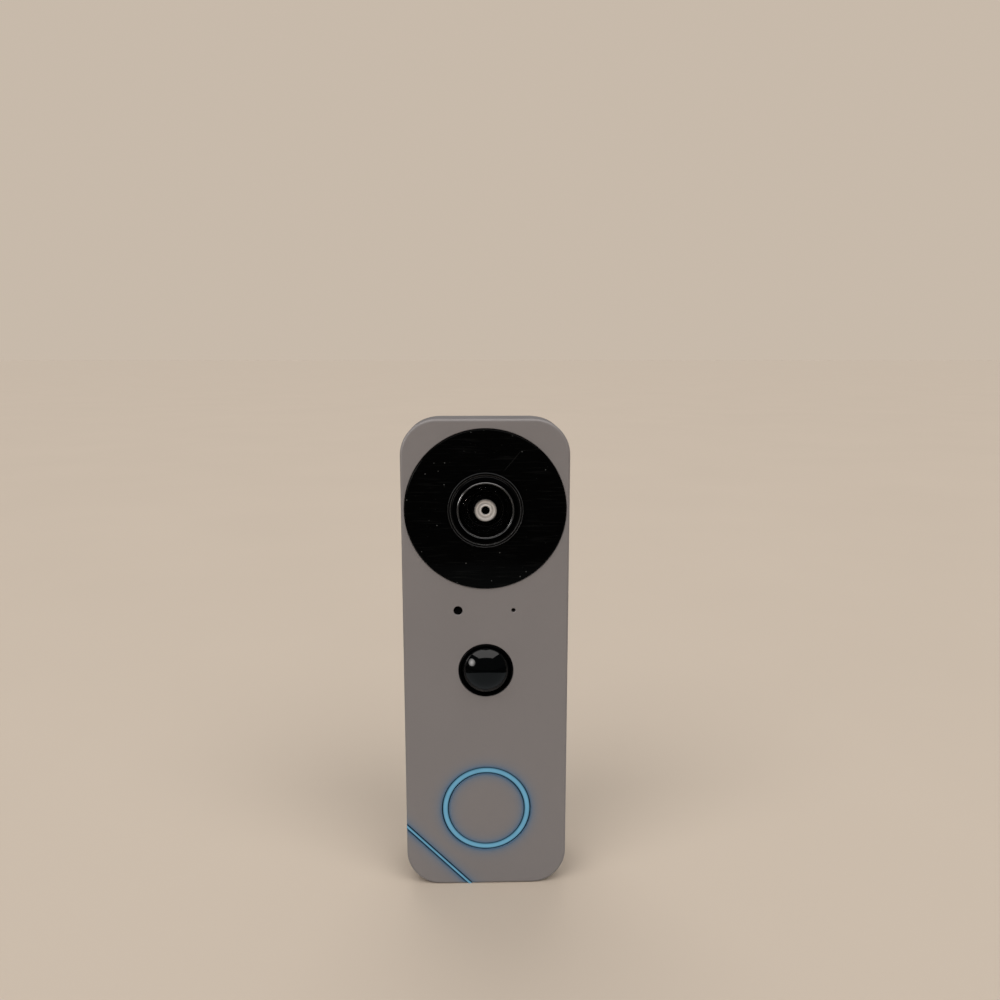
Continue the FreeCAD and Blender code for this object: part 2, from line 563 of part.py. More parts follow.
def button_light_ring():
    """The clear tube that brings the lamps' light to the front, with a flange behind the frame."""
    back, front, soft = 15.7, 23.86, 0.16
    flange_r, flange_back = 13.3, 19.0
    return turned(0, BUTTON_Z, [
        (RING_IN, back), (RING_OUT, back), (RING_OUT, flange_back), (flange_r, flange_back),
        (flange_r, FRAME_WALL_IN), (RING_OUT, FRAME_WALL_IN), (RING_OUT, front - soft),
        (RING_OUT - soft, front), (RING_IN + soft, front), (RING_IN, front - soft),
    ])


def indicator_leds():
    """Twelve lamps under the ring and two under the corner light."""
    spots = around(range(15, 375, 30), 11.25, BUTTON_Z)
    ring = [block(x - 0.8, x + 0.8, z - 0.55, z + 0.55, 14.6, 15.3) for x, z in spots]
    spots = [(x, CORNER_LINE - x) for x in (-12.4, -10.0)]
    corner = [block(x - 0.6, x + 0.6, z - 0.5, z + 0.5, 14.6, 15.3) for x, z in spots]
    return Part.makeCompound(ring + corner)


def switch_body():
    """The small switch under the button."""
    body = block(-3.1, 3.1, BUTTON_Z - 3.1, BUTTON_Z + 3.1, 14.6, 17.3)
    return body.cut(rod(0, BUTTON_Z, 1.65, 15.6, 18))


def switch_plunger():
    """The switch's own plunger."""
    return rod(0, BUTTON_Z, 1.6, 16.4, 18.4)


# ---------------------------------------------------------------- boards and what is on them
def front_board():
    """The board that carries the button's switch, the lamps and the sensors."""
    board = block(-13.3, 13.3, -61.0, 19.0, FRONT_BOARD, FRONT_BOARD + BOARD_THICK)
    return without(board, *[rod(x, z, 0.9, 13, 15) for x, z in BOARD_POSTS])


def front_board_screws():
    """Five short screws that hold the front board."""
    return Part.makeCompound([board_screw(x, z, FRONT_BOARD, 18.4) for x, z in BOARD_POSTS])


def supercapacitor():
    """The flat cell that keeps the clock and the chime alive while the button shorts the supply."""
    cell = block(-9.0, 9.0, -26.5, -13.0, 14.6, 19.4)
    return cell.makeFillet(0.8, [e for e in cell.Edges if abs(e.tangentAt(e.FirstParameter).z) > 0.99])


def main_board():
    """The main board, notched round the case's bosses."""
    board = block(-17.6, 17.6, -23.0, 22.0, MAIN_BOARD, MAIN_BOARD + BOARD_THICK)
    notches = [rod(x, 10.0, 2.9, 9, 11) for x in (-15.9, 15.9)]
    notches += [block(x - 1.0, x + 1.0, 7.1, 12.9, 9, 11) for x in (-16.9, 16.9)]
    screws = [rod(x, z, 0.9, 9, 11) for x, z in MAIN_SCREWS]
    return without(board, *notches, *screws)


def processor_shield():
    """The pressed cover over the processor."""
    cover = block(-9.5, 5.5, -6.0, 9.0, 10.4, 12.4)
    return cover.makeFillet(0.5, edges_at(cover, 12.4))


def radio_module():
    """The radio: a small board with its own cover."""
    base = block(3.5, 13.2, -21.5, -8.0, 10.4, 11.1)
    cover = block(4.2, 12.6, -18.0, -8.6, 11.1, 12.6)
    return fused([base, cover])


def power_parts():
    """Coils, capacitors and the supply's bridge, on the main board."""
    board = MAIN_BOARD + BOARD_THICK
    coils = [block(-15.2, -10.0, z - 2.6, z + 2.6, board, 12.9) for z in (-4.0, -11.0)]
    cans = [rod(x, z, 2.1, board, 12.8) for x, z in ((-5.6, -12.0), (-0.6, -12.0), (9.8, 3.0))]
    bridge = block(8.0, 12.0, 8.4, 13.0, board, 12.0)
    relay = block(-13.4, -9.8, 15.6, 20.4, board, 12.2)
    regulator = block(-4.5, 3.0, -22.4, -17.8, board, 11.8)
    return Part.makeCompound([*coils, *cans, bridge, relay, regulator])


def board_flex():
    """The flat cable and plugs between the main and the front board."""
    low = block(-13.2, -7.0, -21.6, -17.0, 10.4, 11.3)
    high = block(-13.2, -7.0, -21.6, -17.0, 12.5, 13.4)
    strip = block(-13.0, -7.6, -24.6, -24.4, 10.9, 12.9)
    runs = [block(-13.0, -7.6, -24.4, -21.6, d, d + 0.2) for d in (10.9, 12.7)]
    return fused([low, high, strip, *runs])


def camera_flex():
    """The flat cable from the sensor board to the main board."""
    plug = block(-4.2, 4.2, 17.0, 21.0, 10.4, 11.5)
    strip = block(-3.8, 3.8, 21.0, 25.0, 10.9, 11.1)
    drop = block(-3.8, 3.8, 24.8, 25.0, 8.9, 11.1)
    end = block(-3.8, 3.8, 25.0, 25.9, 8.9, 9.1)
    return fused([plug, strip, drop, end])


def antenna():
    """The thin antenna on the frame's side wall."""
    return block(-18.55, -18.25, 22.0, 50.0, 14.4, 18.0)


def speaker_basket():
    """The loudspeaker's frame and magnet."""
    rim = [(11.5, 7.8), (SPEAKER_R, 7.8), (SPEAKER_R, 9.0), (11.9, 9.4), (11.0, 10.2), (8.6, 10.2)]
    magnet = [(8.6, 12.2), (0, 12.2), (0, 11.0), (7.0, 11.0)]
    inside = [(7.0, 9.8), (10.4, 9.8), (10.8, 9.2), (11.5, 8.8)]
    return turned(0, SPEAKER_Z, rim + magnet + inside)


def speaker_cone():
    """The cone and its dust cap."""
    back = [(0, 7.9), (3.0, 8.1), (4.4, 8.9), (10.0, 8.2), (10.8, 7.9), (11.5, 8.2)]
    front = [(11.5, 8.5), (10.8, 8.2), (10.0, 8.5), (4.4, 9.3), (0, 9.3)]
    return turned(0, SPEAKER_Z, back + front)


def speaker_gasket():
    """The foam ring that seals the loudspeaker to the back wall."""
    return tube(0, SPEAKER_Z, SPEAKER_R, 11.0, BACK_WALL_IN, 7.8)


def speaker_leads():
    """The loudspeaker's two wires."""
    return Part.makeCompound([Part.makeCylinder(0.45, 9.05, at(x, -31.45, 11.1)) for x in (-1.6, 1.6)])


def terminals():
    """Two brass terminals: a square plate outside the back wall, and a threaded bush inside."""
    made = []
    for x, z in TERMINALS.values():
        plate = block(x - 3.4, x + 3.4, z - 3.4, z + 3.4, 4.8, BACK_WALL)
        bush = rod(x, z, 2.6, BACK_WALL_IN, MAIN_BOARD)
        made += [plate.cut(rod(x, z, 1.52, 4, 8)), bush.cut(rod(x, z, 1.52, 4, 10))]
    return Part.makeCompound(made)


def terminal_screw(side):
    """A terminal's screw: shank through the back wall into the bush."""
    x, z = TERMINALS[side]
    return machine_screw(x, z, 8.9, 4.8, 3.2, 1.5, 2.9, 0.8)


def terminal_screw_left():
    """The left terminal's screw."""
    return terminal_screw("left")


def terminal_screw_right():
    """The right terminal's screw."""
    return terminal_screw("right")


def reset_switch():
    """The low switch behind the reset button."""
    return block(-2.0, 2.0, RESET_Z - 2.0, RESET_Z + 2.0, 8.65, MAIN_BOARD)


def reset_button():
    """The small button in the back wall, with a flange that keeps it in."""
    button = rod(0, RESET_Z, 1.8, 5.2, 8.2)
    button = button.makeFillet(0.3, edges_at(button, 5.2))
    return fused([button, rod(0, RESET_Z, 2.7, BACK_WALL_IN + 0.05, 8.2)])


# ---------------------------------------------------------------- every node, by name
NODES = (
    wall_plate, security_screw, rear_housing, front_frame, housing_seal, housing_screws,
    faceplate, corner_light_bar,
    camera_window, window_tape, camera_bezel, lens_barrel, front_lens, inner_lenses, iris_ring, lens_holder,
    filter_tray, filter_shuttle, filter_panes, filter_rotor, filter_coil, image_sensor, sensor_board,
    rear_board_screws, night_led_board, night_leds,
    pir_bezel, pir_lens, pir_sensor, light_sensor_pipe, light_sensor, microphone, microphone_boot,
    button_cap, button_guide, button_seal, button_spring, button_light_ring, indicator_leds,
    switch_body, switch_plunger,
    front_board, front_board_screws, supercapacitor, main_board, processor_shield, radio_module,
    power_parts, board_flex, camera_flex, antenna,
    speaker_basket, speaker_cone, speaker_gasket, speaker_leads,
    terminals, terminal_screw_left, terminal_screw_right, reset_switch, reset_button,
)


def main():
    """Writes one STEP file per node."""
    os.makedirs("parts", exist_ok=True)
    for make in NODES:
        name, shape = make.__name__, make()
        solids = shape.Solids
        if not solids or not shape.isValid() or any(s.Volume <= 0 for s in solids):
            raise ValueError(f"{name} is not a set of valid solids")
        kept = solids[0] if len(solids) == 1 else Part.makeCompound(solids)
        kept.exportStep(f"parts/{name}.step")
        print(f"{name}: {len(solids)} solid(s), {sum(s.Volume for s in solids):.1f} mm3")


if __name__ == "__main__":
    main()
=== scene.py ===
"""The looks of a wired video doorbell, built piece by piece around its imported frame.

Everything is in metres in the frame's own axes: +Z up, +X to the right seen from in front, and the wall at Y = 0 with
the front facing -Y. A depth is a distance out from the wall, so depth d lies at Y = -d. Each sub-assembly is a class
whose fields are its sizes; what they don't say comes from the boxes of the CAD nodes.
"""
import json
import logging
import math
from dataclasses import dataclass, field
from enum import Enum
from typing import Iterable, Sequence

import bmesh
import bpy
from mathutils import Matrix, Vector


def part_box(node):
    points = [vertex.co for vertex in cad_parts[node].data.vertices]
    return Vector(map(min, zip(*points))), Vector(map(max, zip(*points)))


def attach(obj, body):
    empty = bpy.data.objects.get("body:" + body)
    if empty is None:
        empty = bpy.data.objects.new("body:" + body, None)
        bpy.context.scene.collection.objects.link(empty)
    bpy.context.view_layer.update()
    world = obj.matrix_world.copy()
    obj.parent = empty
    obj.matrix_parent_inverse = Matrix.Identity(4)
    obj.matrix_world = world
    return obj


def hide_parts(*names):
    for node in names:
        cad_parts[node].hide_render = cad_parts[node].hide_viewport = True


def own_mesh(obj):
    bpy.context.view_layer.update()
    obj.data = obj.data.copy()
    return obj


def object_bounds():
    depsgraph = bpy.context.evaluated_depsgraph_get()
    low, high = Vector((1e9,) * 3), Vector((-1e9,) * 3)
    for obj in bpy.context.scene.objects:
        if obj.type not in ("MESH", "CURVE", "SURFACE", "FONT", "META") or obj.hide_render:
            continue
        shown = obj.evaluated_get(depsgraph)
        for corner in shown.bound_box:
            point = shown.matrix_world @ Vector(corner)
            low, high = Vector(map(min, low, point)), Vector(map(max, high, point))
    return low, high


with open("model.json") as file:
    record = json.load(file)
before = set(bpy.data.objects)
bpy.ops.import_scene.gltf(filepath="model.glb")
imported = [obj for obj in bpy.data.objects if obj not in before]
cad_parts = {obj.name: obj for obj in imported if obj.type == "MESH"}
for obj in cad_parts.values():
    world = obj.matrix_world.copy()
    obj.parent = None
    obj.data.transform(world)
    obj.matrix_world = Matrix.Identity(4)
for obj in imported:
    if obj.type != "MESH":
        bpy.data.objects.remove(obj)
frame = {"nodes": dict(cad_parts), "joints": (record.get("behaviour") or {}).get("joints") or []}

CAD_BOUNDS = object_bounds()
MM = 0.001
FINEST_STEPS, FINE_STEPS, LENS_STEPS, INNER_STEPS, PLAIN_STEPS = 256, 192, 128, 96, 64
DOME_STEPS = 160
RING_OUTER, RING_INNER = 11.95 * MM, 10.6 * MM
TO_WALL, FROM_WALL = Vector((0, 1, 0)), Vector((0, -1, 0))
LOG = logging.getLogger("doorbell")

Profile = list[tuple[float, float]]
Ring = list[Vector]
Colour = tuple[float, float, float]
Spots = tuple[tuple[float, float], ...]
Piece = bpy.types.Object
Socket = bpy.types.NodeSocket
Material = bpy.types.Material


# ---------------------------------------- places
@dataclass(frozen=True)
class Space:
    """The room that a CAD node takes: its centre, its size, and its depths out from the wall."""

    x: float
    z: float
    width: float
    height: float
    near: float
    far: float

    @classmethod
    def of(cls, node: str) -> "Space":
        """Reads the room of a CAD node.

        Args:
            node: The node's name in the frame.

        Returns:
            Its room at rest.
        """
        low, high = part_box(node)
        width, height = high[0] - low[0], high[2] - low[2]
        return cls((low[0] + high[0]) / 2, (low[2] + high[2]) / 2, width, height, -high[1], -low[1])

    @property
    def radius(self) -> float:
        """Half the width, which is the radius of a round piece."""
        return self.width / 2


def at(x: float, z: float, depth: float) -> Vector:
    """The point at that depth out from the wall."""
    return Vector((x, -depth, z))


def circle(count: int, radius: float) -> list[tuple[float, float]]:
    """Points spread evenly round a circle, the first of them on +X."""
    angles = [math.radians(360 * k / count) for k in range(count)]
    return [(radius * math.cos(a), radius * math.sin(a)) for a in angles]


def steps_at(depth: float, *spots: tuple[float, float]) -> Profile:
    """Turns (radius, height) pairs in millimetres into profile points over a depth."""
    return [(radius * MM, depth + height * MM) for radius, height in spots]


def arc(edge: float, top: float, ease: float, steps: int, side: int = -1, sweep: float = math.pi / 2) -> Profile:
    """A rounded edge's profile points, from its side up to its top.

    Args:
        edge: The radius where the rounding starts.
        top: The depth that it reaches.
        ease: The rounding's own radius.
        steps: How many steps it takes.
        side: -1 to round inwards, and 1 to round outwards.
        sweep: How far it turns.

    Returns:
        The points as (radius, depth).
    """
    turns = [sweep * k / steps for k in range(steps + 1)]
    return [(edge + side * ease * (1 - math.cos(t)), top - ease * (1 - math.sin(t))) for t in turns]


def bulge(reach: float, middle: float, sphere: float, steps: int) -> Profile:
    """The profile points of a sphere's cap, from its axis out to a reach, about a middle's depth."""
    return [(reach * k / steps, middle + math.sqrt(sphere ** 2 - (reach * k / steps) ** 2)) for k in range(steps + 1)]


# ---------------------------------------- mesh making
class Shade(Enum):
    """How a mesh's faces meet: the largest angle, in degrees, that is smoothed."""

    ROUND = 50
    CRISP = 30
    FLAT = 1


def piece_from(name: str, points: Sequence[Vector], faces: Sequence[Sequence[int]],
               shade: Shade = Shade.CRISP) -> Piece:
    """Makes a mesh object with its faces turned outwards.

    Args:
        name: The piece's name.
        points: Its vertices.
        faces: Its faces, as indices.
        shade: How its faces are smoothed.

    Returns:
        The new object, linked to the scene.
    """
    mesh = bpy.data.meshes.new(name)
    mesh.from_pydata([tuple(p) for p in points], [], [tuple(f) for f in faces])
    work = bmesh.new()
    work.from_mesh(mesh)
    bmesh.ops.recalc_face_normals(work, faces=work.faces)
    work.to_mesh(mesh)
    work.free()
    piece = bpy.data.objects.new(name, mesh)
    bpy.context.scene.collection.objects.link(piece)
    smooth(piece, shade)
    return piece


def smooth(piece: Piece, shade: Shade) -> None:
    """Smooths a piece's faces where they meet at less than the shade's angle."""
    piece.data.shade_smooth()
    piece.data.set_sharp_from_angle(angle=math.radians(shade.value))


def turned(name: str, x: float, z: float, profile: Profile, steps: int = FINE_STEPS,
           shade: Shade = Shade.CRISP) -> Piece:
    """Turns a closed profile about the line along Y through (x, z).

    Args:
        name: The piece's name.
        x: The line's x.
        z: The line's z.
        profile: Points as (radius, depth), in order round the section.
        steps: How many points go round.
        shade: How its faces are smoothed.

    Returns:
        The turned piece.
    """
    turns = [(math.cos(2 * math.pi * k / steps), math.sin(2 * math.pi * k / steps)) for k in range(steps)]
    points: list[Vector] = []
    rings: list[list[int]] = []
    for radius, depth in profile:
        first = len(points)
        if radius < 1e-9:
            points.append(at(x, z, depth))
            rings.append([first] * steps)
        else:
            points += [at(x + radius * c, z + radius * s, depth) for c, s in turns]
            rings.append(list(range(first, first + steps)))
    faces = []
    for ring, following in zip(rings, rings[1:] + rings[:1]):
        for k in range(steps):
            n = (k + 1) % steps
            corners = list(dict.fromkeys((ring[k], ring[n], following[n], following[k])))
            if len(corners) > 2:
                faces.append(corners)
    return piece_from(name, points, faces, shade)


def eased(profile: Profile, radius: float, steps: int = 3) -> Profile:
    """Rounds every corner of a closed profile that doesn't lie on the axis.

    Args:
        profile: Points as (radius, depth).
        radius: How far the rounding reaches along each side.
        steps: How many points each corner gets, less one.

    Returns:
        The rounded profile.
    """
    made: Profile = []
    for before, corner, after in zip(profile[-1:] + profile[:-1], profile, profile[1:] + profile[:1]):
        if corner[0] < 1e-9:
            made.append(corner)
            continue
        c = Vector(corner)
        sides = [Vector(before) - c, Vector(after) - c]
        starts = [c + side * min(radius / max(side.length, 1e-9), 0.45) for side in sides]
        for k in range(steps + 1):
            t = k / steps
            point = starts[0] * (1 - t) ** 2 + c * (2 * t * (1 - t)) + starts[1] * t ** 2
            made.append((max(point.x, 0.0), point.y))
    return made


def slab_ring(width: float, height: float, corner: float, depth: float, turns: int = 14) -> Ring:
    """A rounded rectangle about the frame's middle.

    Args:
        width: Its size along X.
        height: Its size along Z.
        corner: Its corner radius.
        depth: How far out from the wall it lies.
        turns: How many steps each corner takes.

    Returns:
        Its points, in order.
    """
    ring = []
    for quarter, (sx, sz) in enumerate(((1, 1), (-1, 1), (-1, -1), (1, -1))):
        middle = (sx * (width / 2 - corner), sz * (height / 2 - corner))
        for k in range(turns + 1):
            angle = math.pi / 2 * (quarter + k / turns)
            ring.append(at(middle[0] + corner * math.cos(angle), middle[1] + corner * math.sin(angle), depth))
    return ring


def lofted(name: str, rings: Sequence[Ring], closed: bool = False, shade: Shade = Shade.CRISP) -> Piece:
    """Joins rings of equal length into one skin.

    Args:
        name: The piece's name.
        rings: The rings, in order.
        closed: True if the last ring joins the first, and False if both ends are capped.
        shade: How its faces are smoothed.

    Returns:
        The lofted piece.
    """
    count = len(rings[0])
    points = [p for ring in rings for p in ring]
    faces: list[list[int]] = []
    spans = len(rings) if closed else len(rings) - 1
    for level in range(spans):
        low, high = level * count, ((level + 1) % len(rings)) * count
        for k in range(count):
            n = (k + 1) % count
            faces.append([low + k, low + n, high + n, high + k])
    if not closed:
        faces += [list(range(count)), list(range(len(points) - count, len(points)))]
    return piece_from(name, points, faces, shade)


def boxed(name: str, low: Vector, high: Vector, ease: float = 0.0, segments: int = 2) -> Piece:
    """A box between two corners, with its edges rounded.

    Args:
        name: The piece's name.
        low: One corner.
        high: The opposite corner.
        ease: The radius of its edges, or 0.
        segments: How many steps each rounded edge takes.

    Returns:
        The box.
    """
    mesh = bpy.data.meshes.new(name)
    work = bmesh.new()
    bmesh.ops.create_cube(work, size=1.0)
    size, middle = high - low, (high + low) / 2
    for vertex in work.verts:
        vertex.co = middle + Vector(a * abs(b) for a, b in zip(vertex.co, size))
    if ease:
        bmesh.ops.bevel(work, geom=list(work.edges), offset=ease, segments=segments, profile=0.5, affect="EDGES")
    bmesh.ops.recalc_face_normals(work, faces=work.faces)
    work.to_mesh(mesh)
    work.free()
    piece = bpy.data.objects.new(name, mesh)
    bpy.context.scene.collection.objects.link(piece)
    smooth(piece, Shade.ROUND if ease else Shade.FLAT)
    return piece


def swept(name: str, path: Sequence[Vector], radius: float, sides: int = 12) -> Piece:
    """A round bar along a path, with flat ends.

    Args:
        name: The piece's name.
        path: The points that its middle follows.
        radius: The bar's radius.
        sides: How many points go round it.

    Returns:
        The bar.
    """
    rings = []
    side = (path[1] - path[0]).orthogonal().normalized()
    for before, here, after in zip([path[0], *path[:-1]], path, [*path[1:], path[-1]]):
        along = (after - before).normalized()
        side = (side - along * side.dot(along)).normalized()
        up = along.cross(side)
        rings.append([here + (side * math.cos(a) + up * math.sin(a)) * radius
                      for a in (2 * math.pi * k / sides for k in range(sides))])
    return lofted(name, rings, shade=Shade.ROUND)


def joined(name: str, pieces: Sequence[Piece]) -> Piece:
    """Joins pieces into the first one, under a new name."""
    with bpy.context.temp_override(active_object=pieces[0], selected_editable_objects=list(pieces)):
        bpy.ops.object.join()
    pieces[0].name = pieces[0].data.name = name
    return pieces[0]


def carved(piece: Piece, tools: Iterable[Piece], operation: str = "DIFFERENCE",
           shade: Shade = Shade.CRISP) -> Piece:
    """Cuts tools out of a piece, or adds them to it, and removes the tools.

    Args:
        piece: The piece to change.
        tools: Closed meshes.
        operation: DIFFERENCE or UNION.
        shade: How the result's faces are smoothed.

    Returns:
        The same piece.
    """
    tools = list(tools)
    for tool in tools:
        change = piece.modifiers.new("carve", "BOOLEAN")
        change.operation, change.solver, change.object = operation, "EXACT", tool
    bpy.context.view_layer.update()
    result = bpy.data.meshes.new_from_object(piece.evaluated_get(bpy.context.evaluated_depsgraph_get()))
    piece.modifiers.clear()
    piece.data = result
    for tool in tools:
        bpy.data.objects.remove(tool)
    smooth(piece, shade)
    return piece


def settled(piece: Piece) -> Piece:
    """Gives a piece normals that follow its larger faces, so that flat faces stay flat beside their rounded edges."""
    change = piece.modifiers.new("normals", "WEIGHTED_NORMAL")
    change.keep_sharp, change.weight = True, 90
    return piece


def intersected(piece: Piece, other: Piece) -> Piece:
    """Keeps what two closed meshes share."""
    return carved(piece, [other], "INTERSECT")


# ---------------------------------------- finishes
class Nodes:
    """A short way to write a material's nodes."""

    def __init__(self, name: str) -> None:
        """Starts a material with one principled shader."""
        self.material = bpy.data.materials.new(name)
        self.material.use_nodes = True
        self.tree = self.material.node_tree
        self.shader = self.tree.nodes["Principled BSDF"]

    def node(self, kind: str, **values: object) -> bpy.types.Node:
        """Adds a node and sets its properties or inputs.

        Args:
            kind: The node's type, without the ShaderNode prefix.
            **values: A property, or an input's name with underscores for spaces; a socket is linked to the input.

        Returns:
            The node.
        """
        made = self.tree.nodes.new("ShaderNode" + kind)
        for key, value in values.items():
            if hasattr(made, key):
                setattr(made, key, value)
            else:
                self.set(made, key.replace("_", " "), value)
        return made

    def set(self, node: bpy.types.Node, socket: object, value: object) -> None:
        """Sets an input, or links a socket to it."""
        if isinstance(value, Socket):
            self.tree.links.new(value, node.inputs[socket])
        else:
            node.inputs[socket].default_value = value

    def math(self, operation: str, *values: object, clamp: bool = False) -> Socket:
        """The result of a math node over numbers or sockets."""
        made = self.node("Math", operation=operation, use_clamp=clamp)
        for k, value in enumerate(values):
            self.set(made, k, value)
        return made.outputs[0]

    def place(self) -> Socket:
        """The point on the piece, in metres in the frame."""
        return self.node("TexCoord").outputs["Object"]

    def radius(self, x: float, z: float) -> Socket:
        """How far a point is from the line along Y through (x, z)."""
        place = self.axes()
        across = self.math("POWER", self.less(place[0], x), 2.0)
        up = self.math("POWER", self.less(place[2], z), 2.0)
        return self.math("SQRT", self.math("ADD", across, up))

    def noise(self, scale: float, detail: float = 3.0, stretch: Sequence[float] = (1, 1, 1)) -> Socket:
        """Noise from 0 to 1.

        Args:
            scale: Its size: roughly how many blobs there are to a metre.
            detail: How many finer layers it has.
            stretch: How much more finely it runs along each axis.

        Returns:
            Its value.
        """
        scaled = self.node("Mapping", vector_type="POINT", Vector=self.place(), Scale=tuple(stretch))
        return self.node("TexNoise", Vector=scaled.outputs[0], Scale=scale, Detail=detail, Roughness=0.55).outputs[0]

    def between(self, value: Socket, low: float, high: float, start: float = 0.3,
                end: float = 0.7) -> Socket:
        """Maps a value from start..end to low..high."""
        return self.node("MapRange", Value=value, From_Min=start, From_Max=end, To_Min=low, To_Max=high).outputs[0]

    def times(self, first: object, second: object) -> Socket:
        """The product of two values."""
        return self.math("MULTIPLY", first, second)

    def less(self, first: object, second: object) -> Socket:
        """The first value less the second."""
        return self.math("SUBTRACT", first, second)

    def axes(self) -> Sequence[Socket]:
        """The point's x, y and z."""
        return self.node("SeparateXYZ", Vector=self.place()).outputs

    def cloudy(self, value: Socket, colour: Colour, dark: float, light: float) -> Socket:
        """A colour that drifts between a darker and a lighter shade of itself."""
        return self.blend(self.between(value, 0.0, 1.0), shaded(colour, dark), shaded(colour, light))

    def blend(self, amount: object, first: object, second: object) -> Socket:
        """Mixes two colours."""
        made = self.tree.nodes.new("ShaderNodeMix")
        made.data_type = "RGBA"
        for socket, value in ((0, amount), (6, first), (7, second)):
            self.set(made, socket, value)
        return made.outputs[2]

    def bump(self, height: Socket, depth: float) -> Socket:
        """A bump normal of that depth, in metres."""
        return self.node("Bump", Strength=1.0, Distance=depth, Height=height).outputs[0]

    def finish(self, **inputs: object) -> Material:
        """Sets the shader's inputs and returns the material."""
        for key, value in inputs.items():
            self.set(self.shader, key.replace("_", " "), value)
        return self.material


def rgba(colour: Sequence[float]) -> tuple[float, float, float, float]:
    """A colour with full alpha."""
    return (colour[0], colour[1], colour[2], 1.0)


def shaded(colour: Sequence[float], factor: float) -> tuple[float, float, float, float]:
    """A colour made lighter or darker."""
    return rgba([min(c * factor, 1.0) for c in colour])


@dataclass(frozen=True)
class Finish:
    """A surface finish: its name, and the record's slot that it goes with."""

    name: str
    slot: str
    colour: Colour

    def nodes(self, work: Nodes) -> Material:
        """Builds the finish's nodes; each kind of finish says how."""
        raise NotImplementedError

    def material(self) -> Material:
        """The finish's material, made once."""
        found = bpy.data.materials.get(self.name)
        return found or self.nodes(Nodes(self.name))


@dataclass(frozen=True)
class Moulded(Finish):
    """Moulded plastic: a fine spark-eroded grain, faint flow mottle and slightly polished high spots."""

    rough: float = 0.5
    grain: float = 0.012 * MM
    grain_scale: float = 9000.0
    mottle: float = 0.05

    def mottled(self, work: Nodes) -> Socket:
        """The colour, a little uneven with the melt's flow and with specks."""
        tone = work.times(work.less(work.noise(70, 4, (1, 1, 0.5)), 0.5), self.mottle * 4)
        specks = work.times(work.less(work.noise(2600, 2), 0.5), self.mottle * 2)
        amount = work.math("ADD", work.math("ADD", tone, specks), 0.5, clamp=True)
        return work.blend(amount, shaded(self.colour, 0.75), shaded(self.colour, 1.25))

    def surfaced(self, work: Nodes, colour: Socket) -> Material:
        """The material in that colour, with its grain and its uneven polish."""
        normal = work.bump(work.noise(self.grain_scale, 2), self.grain)
        rough = work.between(work.noise(70, 4, (1, 1, 0.5)), self.rough - 0.05, self.rough + 0.06)
        return work.finish(Base_Color=colour, Roughness=rough, Normal=normal)

    def nodes(self, work: Nodes) -> Material:
        """Builds the finish's nodes."""
        return self.surfaced(work, self.mottled(work))


class Guide(Enum):
    """The two light guides in the front."""

    RING = "ring"
    LINE = "line"


@dataclass(frozen=True)
class Glow:
    """Where the light guides are, and the blue glow painted on the plastic round them: a faint wide halo and a deep
    narrow edge.
    """

    ring_x: float
    ring_z: float
    ring_middle: float
    ring_half: float
    line_sum: float
    line_half: float
    front: float
    gap: float = 0.3 * MM
    # The two painted glows round each guide: a faint wide blue halo, and a deep narrow blue edge next to the guide.
    painted_halo: Colour = (0.42, 0.86, 1.40)
    painted_halo_reach: float = 0.95 * MM
    edge: Colour = (0.20, 0.50, 0.86)
    painted_edge_reach: float = 0.22 * MM

    def off_middle(self, work: Nodes, guide: Guide) -> Socket:
        """How far a point is from the middle of a guide's band."""
        if guide is Guide.RING:
            return work.math("ABSOLUTE", work.less(work.radius(self.ring_x, self.ring_z), self.ring_middle))
        place = work.axes()
        offset = work.less(work.math("ADD", place[0], place[2]), self.line_sum)
        return work.math("DIVIDE", work.math("ABSOLUTE", offset), math.sqrt(2))

    def half(self, guide: Guide) -> float:
        """Half the width of a guide's band."""
        return self.ring_half if guide is Guide.RING else self.line_half

    def beyond(self, work: Nodes) -> Socket:
        """How far a point is outside the nearer guide and the gap beside it."""
        near = [work.less(self.off_middle(work, guide), self.half(guide) + self.gap) for guide in Guide]
        return work.math("MAXIMUM", work.math("MINIMUM", *near), 0.0)


@dataclass(frozen=True)
class LitShell(Moulded):
    """The grey shell's plastic, with the blue glow of the ring and of the corner line painted into its colour round
    them.
    """

    glow: Glow = field(default=None)

    def nodes(self, work: Nodes) -> Material:
        """Builds the finish's nodes."""
        glow, distance = self.glow, self.glow.beyond(work)
        depth = work.axes()[1]
        shown = work.between(depth, 1.0, 0.0, -glow.front + 0.7 * MM, -glow.front + 1.5 * MM)
        colour = self.mottled(work)
        # Paints the guides' glow into the base colour: the faint wide halo, then the deep narrow edge, on the front
        # face only.
        for factors, reach in ((glow.painted_halo, glow.painted_halo_reach), (glow.edge, glow.painted_edge_reach)):
            amount = work.times(work.math("EXPONENT", work.math("DIVIDE", distance, -reach)), shown)
            painted_glow_colour = rgba([c * f for c, f in zip(self.colour, factors)])
            colour = work.blend(amount, colour, painted_glow_colour)
        return self.surfaced(work, colour)


@dataclass(frozen=True)
class Scratch:
    """A straight hairline scratch in the front: its middle, its length, its slope in degrees, and its width."""

    x: float
    z: float
    length: float
    slope: float
    width: float = 0.05 * MM

    def amount(self, work: Nodes) -> Socket:
        """1 on the scratch, and 0 off it."""
        place = work.axes()
        x, z = work.less(place[0], self.x), work.less(place[2], self.z)
        c, s = math.cos(math.radians(self.slope)), math.sin(math.radians(self.slope))
        along = work.math("ABSOLUTE", work.math("ADD", work.times(x, c), work.times(z, s)))
        across = work.math("ABSOLUTE", work.less(work.times(z, c), work.times(x, s)))
        near = work.between(across, 1.0, 0.0, 0.0, self.width)
        return work.times(near, work.between(along, 1.0, 0.0, self.length * 0.3, self.length / 2))


